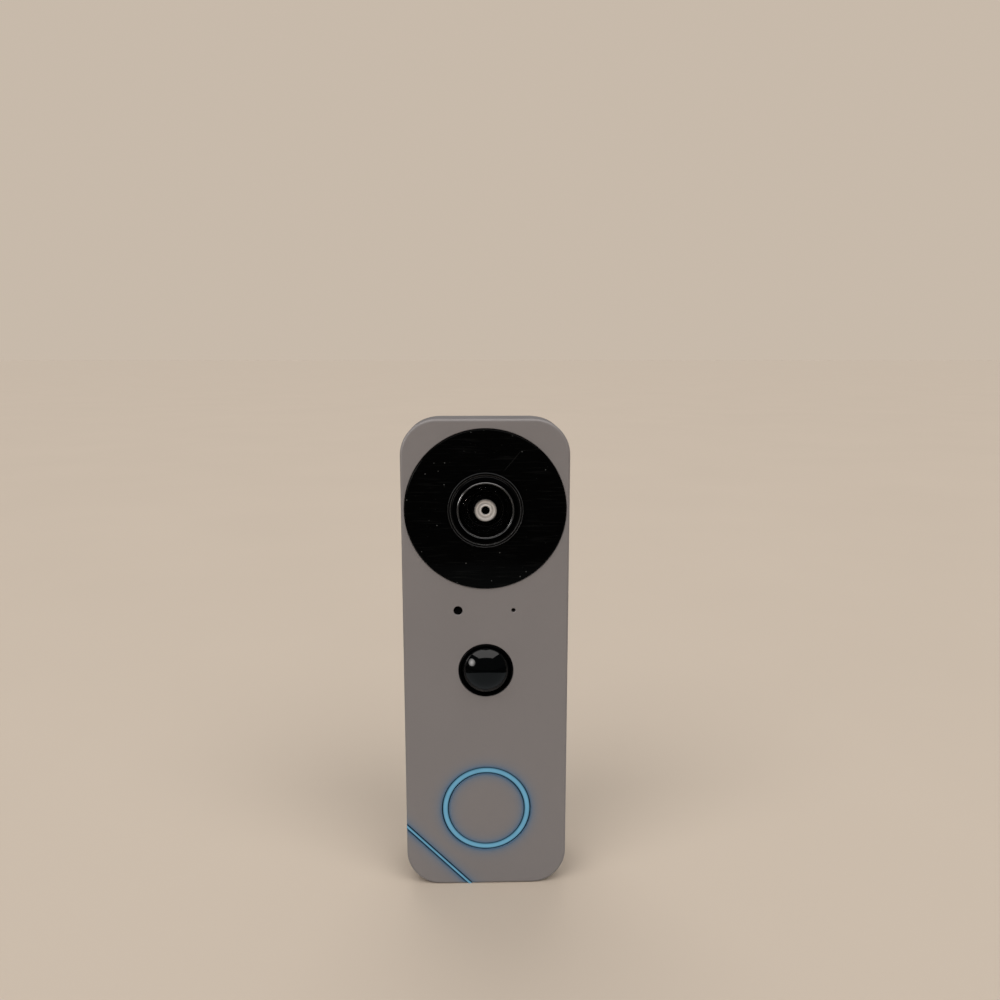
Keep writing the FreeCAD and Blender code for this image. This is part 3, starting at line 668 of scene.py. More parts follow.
@dataclass(frozen=True)
class Polished(Finish):
    """Polished plastic or lacquer: hairline scratches, faint smudges and dust."""

    rough: float = 0.06
    specular: float = 0.5
    dust: float = 0.0
    dust_layers: Spots = ((420.0, 0.6), (800.0, 0.6))
    hairlines: float = 0.0
    scratches: tuple[Scratch, ...] = ()
    scratched: float = 0.08
    worn: Colour = (0.35, 0.36, 0.36)

    def specks(self, work: Nodes, scale: float, share: float) -> Socket:
        """Dust specks, each of its own strength.

        Args:
            work: The material's nodes.
            scale: How many cells there are to a metre; one speck lies in a cell.
            share: The share of the cells that hold one.

        Returns:
            The dust's amount.
        """
        cells = work.node("TexVoronoi", feature="F1", Vector=work.place(), Scale=scale)
        chance = work.node("SeparateColor", Color=cells.outputs["Color"])
        speck = work.between(cells.outputs["Distance"], 1.0, 0.0, 0.02, 0.075)
        some = work.math("GREATER_THAN", chance.outputs[0], 1 - share)
        faint = work.math("POWER", chance.outputs[1], 3.0)
        return work.times(work.times(speck, some), work.times(faint, self.dust))

    def nodes(self, work: Nodes) -> Material:
        """Builds the finish's nodes."""
        lines = work.noise(900, 2, (0.12, 1, 2.2))
        amount = work.times(work.between(lines, 0.0, 1.0, 0.55, 0.8), self.hairlines)
        if self.dust:
            for scale, share in self.dust_layers:
                amount = work.math("ADD", amount, self.specks(work, scale, share), clamp=True)
        for scratch in self.scratches:
            amount = work.math("MAXIMUM", amount, work.times(scratch.amount(work), self.scratched))
        colour = work.blend(amount, rgba(self.colour), rgba(self.worn))
        rough = work.between(work.noise(110, 4), self.rough, self.rough + 0.07)
        return work.finish(Base_Color=colour, Roughness=rough, Normal=work.bump(lines, 0.002 * MM),
                           Specular_IOR_Level=self.specular)


@dataclass(frozen=True)
class Line:
    """A circle painted lighter or darker, or metallic: its radius, half its width, its tone, its shine. The light ones
    on the collar, the lip and the barrel are painted highlights.
    """

    radius: float
    half: float
    tone: Colour
    shine: float = 0.0


@dataclass(frozen=True)
class Lathed(Finish):
    """A lathe-turned surface: fine tool marks round the line through (x, z), and circles painted in other tones."""

    x: float = 0.0
    z: float = 0.0
    pitch: float = 0.09 * MM
    rough: float = 0.3
    metallic: float = 0.0
    specular: float = 0.5
    marks: float = 0.004 * MM
    lines: tuple[Line, ...] = ()

    def nodes(self, work: Nodes) -> Material:
        """Builds the finish's nodes."""
        radius = work.radius(self.x, self.z)
        wave = work.math("SINE", work.times(radius, 2 * math.pi / self.pitch))
        stain = work.noise(600, 3)
        colour = work.cloudy(stain, self.colour, 0.8, 1.15)
        metal: object = self.metallic
        # Each line paints a circle in its tone, metallic by its shine; the light circles on the collar, the lip and the
        # barrel are painted highlights.
        for line in self.lines:
            away = work.math("DIVIDE", work.math("ABSOLUTE", work.less(radius, line.radius)), line.half)
            amount = work.math("EXPONENT", work.times(work.math("POWER", away, 2.0), -1.0))
            colour = work.blend(amount, colour, rgba(line.tone))
            if line.shine:
                metal = work.math("ADD", metal, work.times(amount, line.shine), clamp=True)
        rough = work.between(stain, self.rough - 0.06, self.rough + 0.1)
        return work.finish(Base_Color=colour, Metallic=metal, Roughness=rough, Specular_IOR_Level=self.specular,
                           Normal=work.bump(wave, self.marks))


@dataclass(frozen=True)
class Brushed(Finish):
    """Plated or bare metal with fine brushing, small stains and dull spots."""

    rough: float = 0.32
    metallic: float = 1.0
    stretch: Colour = (0.1, 1, 1)

    def nodes(self, work: Nodes) -> Material:
        """Builds the finish's nodes."""
        strokes = work.noise(5200, 3, self.stretch)
        stain = work.noise(500, 4)
        colour = work.cloudy(stain, self.colour, 0.75, 1.15)
        rough = work.between(strokes, self.rough - 0.08, self.rough + 0.14)
        normal = work.bump(strokes, 0.003 * MM)
        return work.finish(Base_Color=colour, Metallic=self.metallic, Roughness=rough, Normal=normal)


@dataclass(frozen=True)
class Rubbery(Finish):
    """Silicone, foam or cloth-like paper: dull, with open pores."""

    pore_scale: float = 3800.0
    pore: float = 0.02 * MM
    sheen: float = 0.25

    def nodes(self, work: Nodes) -> Material:
        """Builds the finish's nodes."""
        pores = work.node("TexVoronoi", feature="F1", Vector=work.place(), Scale=self.pore_scale).outputs["Distance"]
        cloud = work.noise(240, 4)
        colour = work.cloudy(cloud, self.colour, 0.7, 1.4)
        rough = work.between(cloud, 0.7, 0.9)
        return work.finish(Base_Color=colour, Roughness=rough, Normal=work.bump(pores, self.pore),
                           Sheen_Weight=self.sheen)


@dataclass(frozen=True)
class Clear(Finish):
    """Coated optical glass: clear, hardly reflecting, with a trace of coating bloom."""

    ior: float = 1.05
    rough: float = 0.02

    def nodes(self, work: Nodes) -> Material:
        """Builds the finish's nodes."""
        bloom = work.noise(160, 3)
        colour = work.cloudy(bloom, self.colour, 0.97, 1.03)
        rough = work.between(bloom, self.rough, self.rough + 0.02)
        return work.finish(Base_Color=colour, Roughness=rough, IOR=self.ior, Specular_IOR_Level=0.0,
                           Transmission_Weight=1.0)


@dataclass(frozen=True)
class Lit(Finish):
    """A frosted light guide that is lit from behind, a little uneven, and weaker towards its edges and behind."""

    glow: Glow = field(default=None)
    guide: Guide = Guide.RING
    front: float = 0.0
    strength: float = 1.0
    edge_loss: float = 0.65
    dark: Colour = (0.01, 0.06, 0.12)
    unevenness: float = 0.10

    def nodes(self, work: Nodes) -> Material:
        """Builds the finish's nodes."""
        fibres = work.noise(1700, 2)
        level = work.between(work.noise(260, 3), 1 - self.unevenness, 1 + self.unevenness)
        share = work.math("DIVIDE", self.glow.off_middle(work, self.guide), self.glow.half(self.guide))
        loss = work.times(work.math("POWER", share, 3.0), -self.edge_loss)
        level = work.times(level, work.math("ADD", loss, 1.0, clamp=True))
        depth = work.axes()[1]
        shown = work.between(depth, 1.0, 0.22, -self.front, -self.front + 0.3 * MM)
        strength = work.times(work.times(level, shown), self.strength)
        return work.finish(Base_Color=rgba(self.dark), Roughness=0.35, Emission_Color=rgba(self.colour),
                           Emission_Strength=strength, Normal=work.bump(fibres, 0.006 * MM))


@dataclass(frozen=True)
class Circuit(Finish):
    """A lacquered circuit board: copper runs under the lacquer, and tinned pads, with painted shade for the through
    holes.
    """

    pitch: float = 0.9 * MM

    def nodes(self, work: Nodes) -> Material:
        """Builds the finish's nodes."""
        place = work.place()
        flat = work.node("Mapping", vector_type="POINT", Vector=place, Rotation=(math.radians(90), 0, 0))
        runs = work.node("TexBrick", Vector=flat.outputs[0], Scale=1.0, Brick_Width=self.pitch * 9,
                         Row_Height=self.pitch,
                         Mortar_Size=self.pitch * 0.16, Mortar_Smooth=0.1, offset=0.37, squash=0.6, squash_frequency=3)
        gaps = runs.outputs["Fac"]
        cells = work.node("TexVoronoi", feature="F1", Vector=place, Scale=0.42 / self.pitch, Randomness=0.75)
        pads = work.between(cells.outputs["Distance"], 1.0, 0.0, 0.13, 0.15)
        rare = work.math("GREATER_THAN", work.node("SeparateColor", Color=cells.outputs["Color"]).outputs[1], 0.45)
        pads = work.times(pads, rare)
        # The through holes are dark dots of painted shade in the middle of some pads.
        hole_shade = work.between(cells.outputs["Distance"], 1.0, 0.0, 0.06, 0.07)
        lacquer = work.blend(gaps, shaded(self.colour, 1.35), shaded(self.colour, 0.6))
        tin = work.blend(work.times(hole_shade, rare), (0.72, 0.66, 0.5, 1), (0.02, 0.02, 0.02, 1))
        height = work.less(1.0, gaps)
        rough = work.between(work.noise(300, 3), 0.22, 0.34)
        return work.finish(Base_Color=work.blend(pads, lacquer, tin), Metallic=work.times(pads, 0.9),
                           Roughness=rough, Normal=work.bump(height, 0.02 * MM))


@dataclass(frozen=True)
class Film(Finish):
    """A flat cable: amber film with its copper strips showing through."""

    pitch: float = 0.5 * MM

    def nodes(self, work: Nodes) -> Material:
        """Builds the finish's nodes."""
        x = work.axes()[0]
        wave = work.math("SINE", work.times(x, 2 * math.pi / self.pitch))
        strip = work.between(wave, 0.0, 1.0, -0.1, 0.1)
        colour = work.blend(strip, shaded(self.colour, 0.55), shaded(self.colour, 1.1))
        rough = work.between(work.noise(400, 3), 0.22, 0.36)
        return work.finish(Base_Color=colour, Roughness=rough, Normal=work.bump(wave, 0.01 * MM))


class Kit:
    """Every finish on the doorbell."""

    def __init__(self, glow: Glow, ring_front: float, bar_front: float) -> None:
        """Makes the finishes.

        Args:
            glow: Where the lights tint the shell.
            ring_front: The light ring's front depth.
            bar_front: The corner light's front depth.
        """
        blue = (0.115, 0.275, 0.365)
        self.shell = LitShell("shell_plastic", "shell_grey", (0.229, 0.211, 0.211), rough=0.46, mottle=0.035, glow=glow)
        self.housing = Moulded("housing_plastic", "housing_plastic", (0.060, 0.057, 0.056), rough=0.52, grain=0.02 * MM,
                               grain_scale=5200, mottle=0.1)
        self.frame = Moulded("frame_plastic", "dark_plastic", (0.012, 0.012, 0.013), rough=0.55, grain=0.02 * MM,
                              mottle=0.12)
        self.plate = Moulded("plate_plastic", "dark_plastic", (0.020, 0.020, 0.021), rough=0.58, grain=0.03 * MM,
                             grain_scale=4200, mottle=0.14)
        self.white = Moulded("white_plastic", "white_plastic", (0.62, 0.61, 0.58), rough=0.38, mottle=0.05)
        window = Space.of("camera_window")
        scratch = Scratch(window.x + 7.0 * MM, window.z + 12.8 * MM, 7.4 * MM, 50.0)
        self.window = Polished("window_acrylic", "window_black", (0.0011, 0.0011, 0.0011), rough=0.05, specular=0.05,
                               dust=0.8, hairlines=0.012, scratches=(scratch,))
        self.bezel = Polished("bezel_plastic", "bezel_black", (0.0009, 0.0009, 0.0010), rough=0.25, specular=0.04)
        self.dome = Polished("dome_plastic", "dome_black", (0.0012, 0.0015, 0.0017), rough=0.02, specular=0.32)
        self.pipe = Polished("pipe_plastic", "light_pipe", (0.0005, 0.0005, 0.0005), rough=0.1, specular=0.05)
        self.chip = Moulded("chip_plastic", "chip_black", (0.018, 0.018, 0.019), rough=0.42, grain_scale=14000,
                             mottle=0.1)
        self.lamp = Polished("lamp_resin", "led_white", (0.75, 0.66, 0.30), rough=0.25, dust=0.1)
        self.smoke = Polished("smoked_resin", "led_smoke", (0.02, 0.012, 0.024), rough=0.08, specular=0.6)
        self.ring_light = Lit("ring_guide", "light_guide", blue, glow, Guide.RING, ring_front)
        self.bar_light = Lit("bar_guide", "light_guide", blue, glow, Guide.LINE, bar_front, 0.9, 0.8)
        self.glass = Clear("coated_glass", "lens_glass", (0.97, 0.98, 1.0))
        self.pane = Clear("filter_glass", "filter_glass", (0.45, 0.62, 0.66), ior=1.08)
        self.rubber = Rubbery("silicone", "seal_rubber", (0.016, 0.016, 0.017), pore=0.006 * MM)
        self.foam = Rubbery("foam", "foam_black", (0.014, 0.014, 0.014), pore_scale=2600, pore=0.06 * MM, sheen=0.4)
        self.paper = Rubbery("cone_paper", "cone_paper", (0.022, 0.021, 0.022), pore_scale=1500, pore=0.05 * MM,
                              sheen=0.5)
        self.steel = Brushed("plated_steel", "steel", (0.50, 0.51, 0.52))
        self.spring = Brushed("spring_wire", "spring_steel", (0.46, 0.46, 0.47), rough=0.25)
        self.can = Brushed("tinned_cover", "can_metal", (0.58, 0.58, 0.57), rough=0.36, stretch=(1, 1, 0.1))
        self.black_steel = Brushed("black_steel", "dark_steel", (0.03, 0.03, 0.032), metallic=0.6, rough=0.4)
        self.nickel = Brushed("nickel", "magnet", (0.55, 0.54, 0.53), rough=0.16)
        self.brass = Brushed("brass_plate", "brass", (0.62, 0.42, 0.15), rough=0.3)
        self.copper = Brushed("copper_wire", "copper", (0.62, 0.25, 0.12), rough=0.3)
        self.wrap = Brushed("cell_wrap", "cell_wrap", (0.10, 0.12, 0.15), rough=0.3, metallic=0.5, stretch=(1, 1, 0.05))
        self.sleeve = Rubbery("wire_sleeve", "wire_sleeve", (0.28, 0.012, 0.01), pore=0.004 * MM, sheen=0.1)
        self.board = Circuit("green_board", "board_green", (0.008, 0.075, 0.028))
        self.black_board = Circuit("black_board", "board_black", (0.008, 0.008, 0.009))
        self.film = Film("amber_film", "flex_amber", (0.42, 0.17, 0.03))

    @staticmethod
    def iris(x: float, z: float) -> Lathed:
        """The iris ring's satin finish, lighter on its two rims, turned about the lens's axis."""
        black = (0.002, 0.002, 0.002)
        lines = (Line(1.38 * MM, 0.26 * MM, (0.62, 0.59, 0.565)), Line(2.24 * MM, 0.22 * MM, (0.56, 0.53, 0.505)),
                 Line(0.9 * MM, 0.18 * MM, black), Line(2.97 * MM, 0.26 * MM, black))
        return Lathed("iris_satin", "iris_grey", (0.35, 0.325, 0.305), x, z, rough=0.5, marks=0.008 * MM, lines=lines)

    @staticmethod
    def anodised(x: float, z: float) -> Lathed:
        """The lens barrel's black anodising, with a faint painted highlight circle on one step, turned about the lens's
        axis.
        """
        lines = (Line(4.7 * MM, 0.07 * MM, (0.012, 0.012, 0.012)),)
        return Lathed("black_anodised", "lens_metal", (0.0008, 0.0008, 0.0008), x, z, rough=0.5, specular=0.03,
                      marks=0.0, lines=lines)

    @staticmethod
    def lip(x: float, z: float) -> Lathed:
        """The polished lip of the barrel, with a bright and a dim painted highlight circle, turned about the lens's
        axis.
        """
        painted_glint, painted_inner_glint = (0.24, 0.24, 0.24), (0.15, 0.15, 0.15)
        lines = (Line(7.32 * MM, 0.10 * MM, painted_glint, 1.0), Line(7.05 * MM, 0.035 * MM, painted_inner_glint, 1.0))
        return Lathed("polished_lip", "lens_metal", (0.0010, 0.0010, 0.0010), x, z, rough=0.16, specular=0.05,
                      marks=0.0, lines=lines)

    @staticmethod
    def collar(x: float, z: float) -> Lathed:
        """The collar's black plastic with painted grey highlight lines on its crests, turned about the lens's axis."""
        lines = (Line(9.74 * MM, 0.07 * MM, (0.13,) * 3, 1.0), Line(9.16 * MM, 0.07 * MM, (0.24,) * 3, 1.0),
                 Line(8.74 * MM, 0.06 * MM, (0.02,) * 3, 1.0))
        return Lathed("collar_plastic", "bezel_black", (0.0008, 0.0008, 0.0009), x, z, rough=0.22, specular=0.0,
                      marks=0.0, lines=lines)


# ---------------------------------------- sub-assemblies
@dataclass
class Assembly:
    """What every sub-assembly can do: put a finish on a piece, tie it to a body and report it."""

    kit: Kit

    def add(self, piece: Piece, finish: Finish, *stands_for: str, body: str = "unit") -> Piece:
        """Finishes a new piece.

        Args:
            piece: The piece, in its place at rest.
            finish: What it is finished in.
            *stands_for: The CAD nodes that it takes the place of.
            body: The body that it moves with.

        Returns:
            The same piece.
        """
        piece.data.materials.clear()
        piece.data.materials.append(finish.material())
        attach(piece, body)
        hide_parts(*stands_for)
        LOG.info("%s: %d faces in %s on %s", piece.name, len(piece.data.polygons), finish.name, body)
        return piece

    def dress(self, **finishes: Finish) -> None:
        """Puts a finish on each CAD node that stays.

        Args:
            **finishes: What each node is finished in, by the node's name.
        """
        for node, finish in finishes.items():
            shape = frame["nodes"][node]
            if not shape.material_slots:
                shape.data.materials.append(None)
            for holder in shape.material_slots:
                holder.material = finish.material()
            LOG.info("%s: dressed in %s", node, finish.name)

    def build(self) -> None:
        """Builds and dresses the sub-assembly's pieces; each one says how."""
        raise NotImplementedError


class Drive(Enum):
    """What turns a screw."""

    CROSS = "cross"
    SOCKET = "socket"


@dataclass(frozen=True)
class Screw:
    """A screw with a real thread. It is made about the origin, its head's seat at 0 and its point towards -Z."""

    shank: float
    length: float
    head: float
    head_height: float
    pitch: float = 0.5 * MM
    drive: Drive = Drive.CROSS
    thread: float = 0.12
    point: float = 0.72
    head_shape: Spots = ((0.0, 1.0), (0.62, 1.0), (0.93, 0.72), (1.0, 0.3), (0.97, 0.0), (0.0, 0.0))
    head_ease: float = 0.12
    recess: float = 0.42
    arm: float = 0.62
    arm_half: float = 0.13
    socket: float = 0.46

    def shank_rings(self, around: int = 20, per_turn: int = 7) -> list[Ring]:
        """The threaded shank's rings from its point to its seat; the crest climbs one pitch a turn."""
        rings = []
        levels = max(int(self.length / self.pitch * per_turn), 4)
        for level in range(levels + 1):
            height = -self.length + self.length * level / levels
            taper = min(1.0, self.point + (1 - self.point) * (self.length + height) / (2 * self.pitch))
            ring = []
            for k in range(around):
                turn = k / around
                crest = 0.5 + 0.5 * math.cos(2 * math.pi * (height / self.pitch - turn))
                radius = self.shank * taper * (1 - self.thread * (1 - crest))
                angle = 2 * math.pi * turn
                ring.append(Vector((radius * math.cos(angle), radius * math.sin(angle), height)))
            rings.append(ring)
        return rings

    def recess_tools(self) -> list[Piece]:
        """What is cut out of the head for the driver: a cross of two arms, or a hexagon."""
        deep, top = self.head_height * self.recess, self.head_height * 1.2
        if self.drive is Drive.SOCKET:
            return [lofted("hexagon", [[Vector((x, y, height)) for x, y in circle(6, self.head * self.socket)]
                                       for height in (deep, top)])]
        arm, half = self.head * self.arm, self.head * self.arm_half
        return [boxed("arm", Vector((-a, -b, deep)), Vector((a, b, top)))
                for a, b in ((arm, half), (half, arm * 0.999))]

    def made(self, name: str, seat: Vector, towards: Vector) -> Piece:
        """Makes the screw in its place.

        Args:
            name: The piece's name.
            seat: The middle of the head's seat.
            towards: The way that its point goes.

        Returns:
            The screw.
        """
        shank = lofted("shank", self.shank_rings(), shade=Shade.ROUND)
        dome = [(self.head * r, self.head_height * h) for r, h in self.head_shape]
        head = turned("head", 0, 0, eased(dome, self.head * self.head_ease), PLAIN_STEPS // 2, Shade.ROUND)
        head.data.transform(Matrix.Rotation(math.radians(90), 4, "X").inverted())
        screw = joined(name, [carved(head, self.recess_tools()), shank])
        turn = Vector((0, 0, -1)).rotation_difference(towards).to_matrix().to_4x4()
        screw.data.transform(Matrix.Translation(seat) @ turn)
        return screw


@dataclass
class FrontShell(Assembly):
    """The grey shell that shows in front, and the light bar across its lower left corner.

    The posts' spots are (x, z) in millimetres, one for the pair on both sides.
    """

    corner: float = 9.5 * MM
    wall: float = 1.5 * MM
    front_wall: float = 1.8 * MM
    edge: float = 0.8 * MM
    back_edge: float = 0.25 * MM
    inner_edge: float = 0.4 * MM
    rim: float = 0.16 * MM
    window_gap: float = 0.15 * MM
    ring_gap: float = 0.25 * MM
    mic_hole: float = 0.56 * MM
    pipe_hole: float = 1.2 * MM
    slit_half: float = 0.65 * MM
    slit_lip: float = 0.12 * MM
    bar_half: float = 0.32 * MM
    bar_inset: float = 0.05 * MM
    foot_half: float = 1.5 * MM
    foot_inset: float = 0.6 * MM
    strip_reach: float = 20 * MM
    post: float = 1.2 * MM
    post_length: float = 4.0 * MM
    post_spots: Spots = ((16.6, 59.6), (17.2, -6.0), (16.6, -59.6))
    touch: float = 0.002 * MM

    def outline(self, inset: float, depth: float) -> Ring:
        """The shell's outline, moved inwards, at a depth."""
        space = Space.of("faceplate")
        return slab_ring(space.width - 2 * inset, space.height - 2 * inset, self.corner - inset, depth)

    def hole(self, node: str, radius: float, back: float, front: float) -> Piece:
        """A tool for a round hole over a node's middle, its rim softened."""
        space = Space.of(node)
        flare = arc(radius, front, self.rim, 4, side=1)
        profile = [(0.0, back), (radius, back), *flare, (radius + self.rim, front + MM), (0.0, front + MM)]
        return turned("hole", space.x, space.z, profile)

    def strip(self, half: float, back: float, front: float, lip: float = 0.0) -> Piece:
        """A bar along the corner line, its front edges flared by lip."""
        start = Space.of("corner_light_bar").x
        along, across = Vector((1, 0, -1)).normalized(), Vector((1, 0, 1)).normalized()
        section = [(half, back), (half, front)]
        if lip:
            section = [(half, back), (half, front - lip), (half + lip, front), (half + lip, front + MM)]
        section = [(-half, back), *section, *((-a, d) for a, d in section[:0:-1])]
        rings = [[at(start, self.line_sum() - start, d) + along * end + across * a for a, d in section]
                 for end in (-self.strip_reach, self.strip_reach)]
        return lofted("strip", rings)

    @staticmethod
    def line_sum() -> float:
        """x + z along the middle of the corner line."""
        low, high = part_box("corner_light_bar")
        return (low[0] + high[2] + high[0] + low[2]) / 2

    def shell(self) -> Piece:
        """The shell: hollowed, holed, slit, and with its six posts."""
        space = Space.of("faceplate")
        inner, back = space.far - self.front_wall, space.near - MM
        rounded = [self.outline(inset, depth) for inset, depth in arc(0.0, space.far, self.edge, 8, side=1)]
        shell = lofted("front_shell", [self.outline(self.back_edge, space.near),
                                       self.outline(0.0, space.near + self.back_edge), *rounded])
        room = lofted("room", [self.outline(self.wall, back), self.outline(self.wall, inner - self.inner_edge),
                               self.outline(self.wall + self.inner_edge, inner)])
        shell = carved(carved(shell, [room]), self.posts(inner), "UNION")
        openings = (("camera_window", Space.of("camera_window").radius + self.window_gap, back),
                    ("pir_bezel", Space.of("pir_bezel").radius + self.window_gap, inner - MM),
                    ("button_light_ring", RING_OUTER + self.ring_gap, inner - MM),
                    ("light_sensor_pipe", self.pipe_hole, inner - MM), ("microphone", self.mic_hole, inner - MM))
        tools = [self.hole(node, radius, start, space.far) for node, radius, start in openings]
        tools.append(self.strip(self.slit_half, inner - 0.1 * MM, space.far, self.slit_lip))
        return settled(carved(shell, tools))

    def posts(self, inner: float) -> list[Piece]:
        """The six posts that grip the frame's sockets, each with a lead-in and a root."""
        tip, root, end = inner - self.post_length, self.post + 0.3 * MM, inner + 0.5 * MM
        profile = [(0.0, tip), (self.post - 0.3 * MM, tip), (self.post, tip + 0.5 * MM),
                   (self.post, inner - self.inner_edge), (root, inner - 0.02 * MM), (root, end), (0.0, end)]
        return [turned("post", side * x * MM, z * MM, profile, PLAIN_STEPS // 2)
                for x, z in self.post_spots for side in (-1, 1)]

    def bar(self) -> Piece:
        """The light bar: a blade in the slit on a wider foot behind the shell."""
        space, shell = Space.of("corner_light_bar"), Space.of("faceplate")
        inner = shell.far - self.front_wall
        size = (shell.width - 2 * self.bar_inset, shell.height - 2 * self.bar_inset, self.corner)
        around = lofted("outline", [slab_ring(*size, depth) for depth in (inner + self.touch, 30 * MM)])
        blade = intersected(self.strip(self.bar_half, inner - 0.3 * MM, space.far), around)
        inside, top = self.wall + self.foot_inset, inner - self.touch
        around = lofted("outline", [self.outline(inside, depth) for depth in (space.near - MM, top)])
        foot = intersected(self.strip(self.foot_half, space.near, top), around)
        return joined("corner_light", [blade, foot])

    def build(self) -> None:
        """Builds the shell and its light bar."""
        self.add(self.shell(), self.kit.shell, "faceplate", body="front_shell")
        self.add(self.bar(), self.kit.bar_light, "corner_light_bar", body="front_shell")


@dataclass
class Camera(Assembly):
    """The black window, the stepped collar, and the lens with what shows through it.

    A table of steps holds (radius, height) in millimetres. Heights are over the window's face for the collar, over the
    wall for the barrel, and over the iris ring's top for the iris.
    """

    window_hole: float = 9.95 * MM
    window_edge: float = 0.35 * MM
    window_soft: float = 0.08 * MM
    collar_in: float = 7.7 * MM
    collar_out: float = 9.85 * MM
    collar_flange: float = 1.2 * MM
    collar_land: float = 0.54 * MM
    collar_steps: Spots = ((9.6, 0.4), (9.26, 0.4), (9.06, 0.2), (8.9, 0.2), (8.62, 0.5), (8.42, 0.56))
    collar_crest: float = 7.9 * MM
    collar_ease: float = 0.07 * MM
    lip_height: float = 0.7 * MM
    lip_out: float = 7.44 * MM
    mouth: float = 6.97 * MM
    mouth_floor: float = 24.3 * MM
    baffles: Spots = ((6.1, 23.5), (5.4, 22.9))
    baffle_width: float = 0.35 * MM
    baffle_height: float = 0.12 * MM
    throat: float = 4.7 * MM
    iris_seat: float = 3.42 * MM
    bore_steps: Spots = ((3.42, 21.2), (2.4, 21.2), (2.4, 13.6), (2.0, 13.6))
    bore: float = 2.0 * MM
    neck: float = 4.5 * MM
    neck_length: float = 5.4 * MM
    neck_pitch: float = 0.5 * MM
    neck_threads: int = 10
    thread_depth: float = 0.25 * MM
    glass: float = 1.0 * MM
    glass_sphere: float = 11.0 * MM
    inner_reach: float = 3.4 * MM
    inner_sphere: float = 6.0 * MM
    inner_seat: float = 21.2 * MM
    rear_reach: float = 2.38 * MM
    rear_sphere: float = 5.0 * MM
    rear_middle: float = 10.4 * MM
    iris_steps: Spots = ((2.92, -0.5), (2.98, -0.2), (2.86, 0.0), (2.62, 0.0), (2.5, -0.14), (1.62, -0.26),
                         (1.5, -0.12), (1.18, -0.12), (1.05, -0.3), (1.05, -0.6), (2.55, -0.5))
    cone_drop: float = 0.52 * MM
    cone_shoulder: float = 0.75 * MM
    cone_foot: float = 0.45 * MM
    iris_ease: float = 0.04 * MM

    def window(self) -> Piece:
        """The window, its outer edge rounded over and its inner edge softened."""
        space = Space.of("camera_window")
        edge = arc(space.radius, space.far, self.window_edge, 6)
        inner = [(self.window_hole + self.window_soft, space.far), (self.window_hole, space.far - self.window_soft),
                 (self.window_hole, space.near)]
        profile = [(space.radius, space.near), *edge, *inner]
        return settled(turned("camera_glass", space.x, space.z, profile, FINEST_STEPS))

    def collar(self) -> Piece:
        """The collar: an outer land, a shallow gutter, and a rising inner lip; the lines of light on its steps are
        painted highlights in its finish.
        """
        space, face = Space.of("camera_bezel"), Space.of("camera_window").far
        flange = space.near + self.collar_flange
        steps = [(self.collar_in, space.near), (space.radius, space.near), (space.radius, flange),
                 (self.collar_out, flange), (self.collar_out, face + self.collar_land),
                 *steps_at(face, *self.collar_steps), (self.collar_crest, space.far), (self.collar_in, space.far)]
        return turned("camera_collar", space.x, space.z, eased(steps, self.collar_ease), FINEST_STEPS)

    def barrel(self) -> Piece:
        """The lens barrel: stepped baffles inside its mouth, and a thread on its neck."""
        space, seat = Space.of("lens_barrel"), Space.of("iris_ring").near
        near, far = space.near, space.far - self.lip_height
        thread, baffles = [], []
        for k in range(self.neck_threads):
            base = near + 0.3 * MM + k * self.neck_pitch
            thread += [(self.neck - self.thread_depth, base), (self.neck - 0.02 * MM, base + self.neck_pitch / 2)]
        for radius, depth in steps_at(0.0, *self.baffles):
            inside = radius - self.baffle_width
            baffles += [(radius, depth), (inside, depth), (inside, depth - self.baffle_height)]
        first, last = steps_at(0.0, *self.baffles)
        steps = [(self.bore, near), (self.neck - self.thread_depth, near), *thread,
                 (self.neck, near + self.neck_length), (space.radius, near + self.neck_length + 0.2 * MM),
                 (space.radius, far), (self.mouth, far),
                 (self.mouth, self.mouth_floor), (first[0], self.mouth_floor), *baffles, (self.throat, last[1]),
                 (self.throat, seat), (self.iris_seat, seat), *steps_at(0.0, *self.bore_steps)]
        return turned("lens_barrel_turned", space.x, space.z, steps)

    def lip(self) -> Piece:
        """The barrel's rounded lip."""
        space = Space.of("lens_barrel")
        near, radius = space.far - self.lip_height, (self.lip_out - self.mouth) / 2
        profile = [(self.lip_out, near), (self.mouth, near), *arc(self.mouth, space.far, radius, 16, 1, math.pi)]
        return turned("lens_lip", space.x, space.z, profile, shade=Shade.ROUND)

    def front_element(self) -> Piece:
        """The wide front lens, a shell between two spheres."""
        space, inner = Space.of("front_lens"), self.glass_sphere - self.glass
        middle = space.far - self.glass - inner
        edge = math.sqrt(max(inner ** 2 - (space.near - middle) ** 2, 0.0))
        profile = [*bulge(space.radius, space.far - self.glass_sphere, self.glass_sphere, 16),
                   (space.radius, space.near), *reversed(bulge(edge, middle, inner, 12))]
        return turned("front_element", space.x, space.z, profile, LENS_STEPS, Shade.ROUND)

    def small_element(self, name: str, seat: float, reach: float, middle: float, sphere: float, steps: int) -> Piece:
        """An inner lens, flat behind and domed in front, on the lens's axis."""
        space = Space.of("front_lens")
        profile = [(0.0, seat), *bulge(reach, middle, sphere, steps), (reach, seat)]
        return turned(name, space.x, space.z, profile, INNER_STEPS, Shade.ROUND)

    def iris(self) -> Piece:
        """The pale ring round the pupil, rimmed and dished on top."""
        space = Space.of("iris_ring")
        profile = eased(steps_at(space.far, *self.iris_steps), self.iris_ease)
        return turned("iris_plate", space.x, space.z, profile, LENS_STEPS)

    def cone(self) -> Piece:
        """The black cone and foot that hold the pale ring."""
        space = Space.of("iris_ring")
        near, far, shoulder = space.near, space.far - self.cone_drop, space.near + self.cone_shoulder
        profile = [(3.45 * MM, near), (space.radius, near), (space.radius, near + self.cone_foot),
                   (3.3 * MM, shoulder), (3.0 * MM, far), (2.6 * MM, far), (2.95 * MM, shoulder)]
        return turned("iris_cone", space.x, space.z, eased(profile, self.iris_ease), LENS_STEPS)

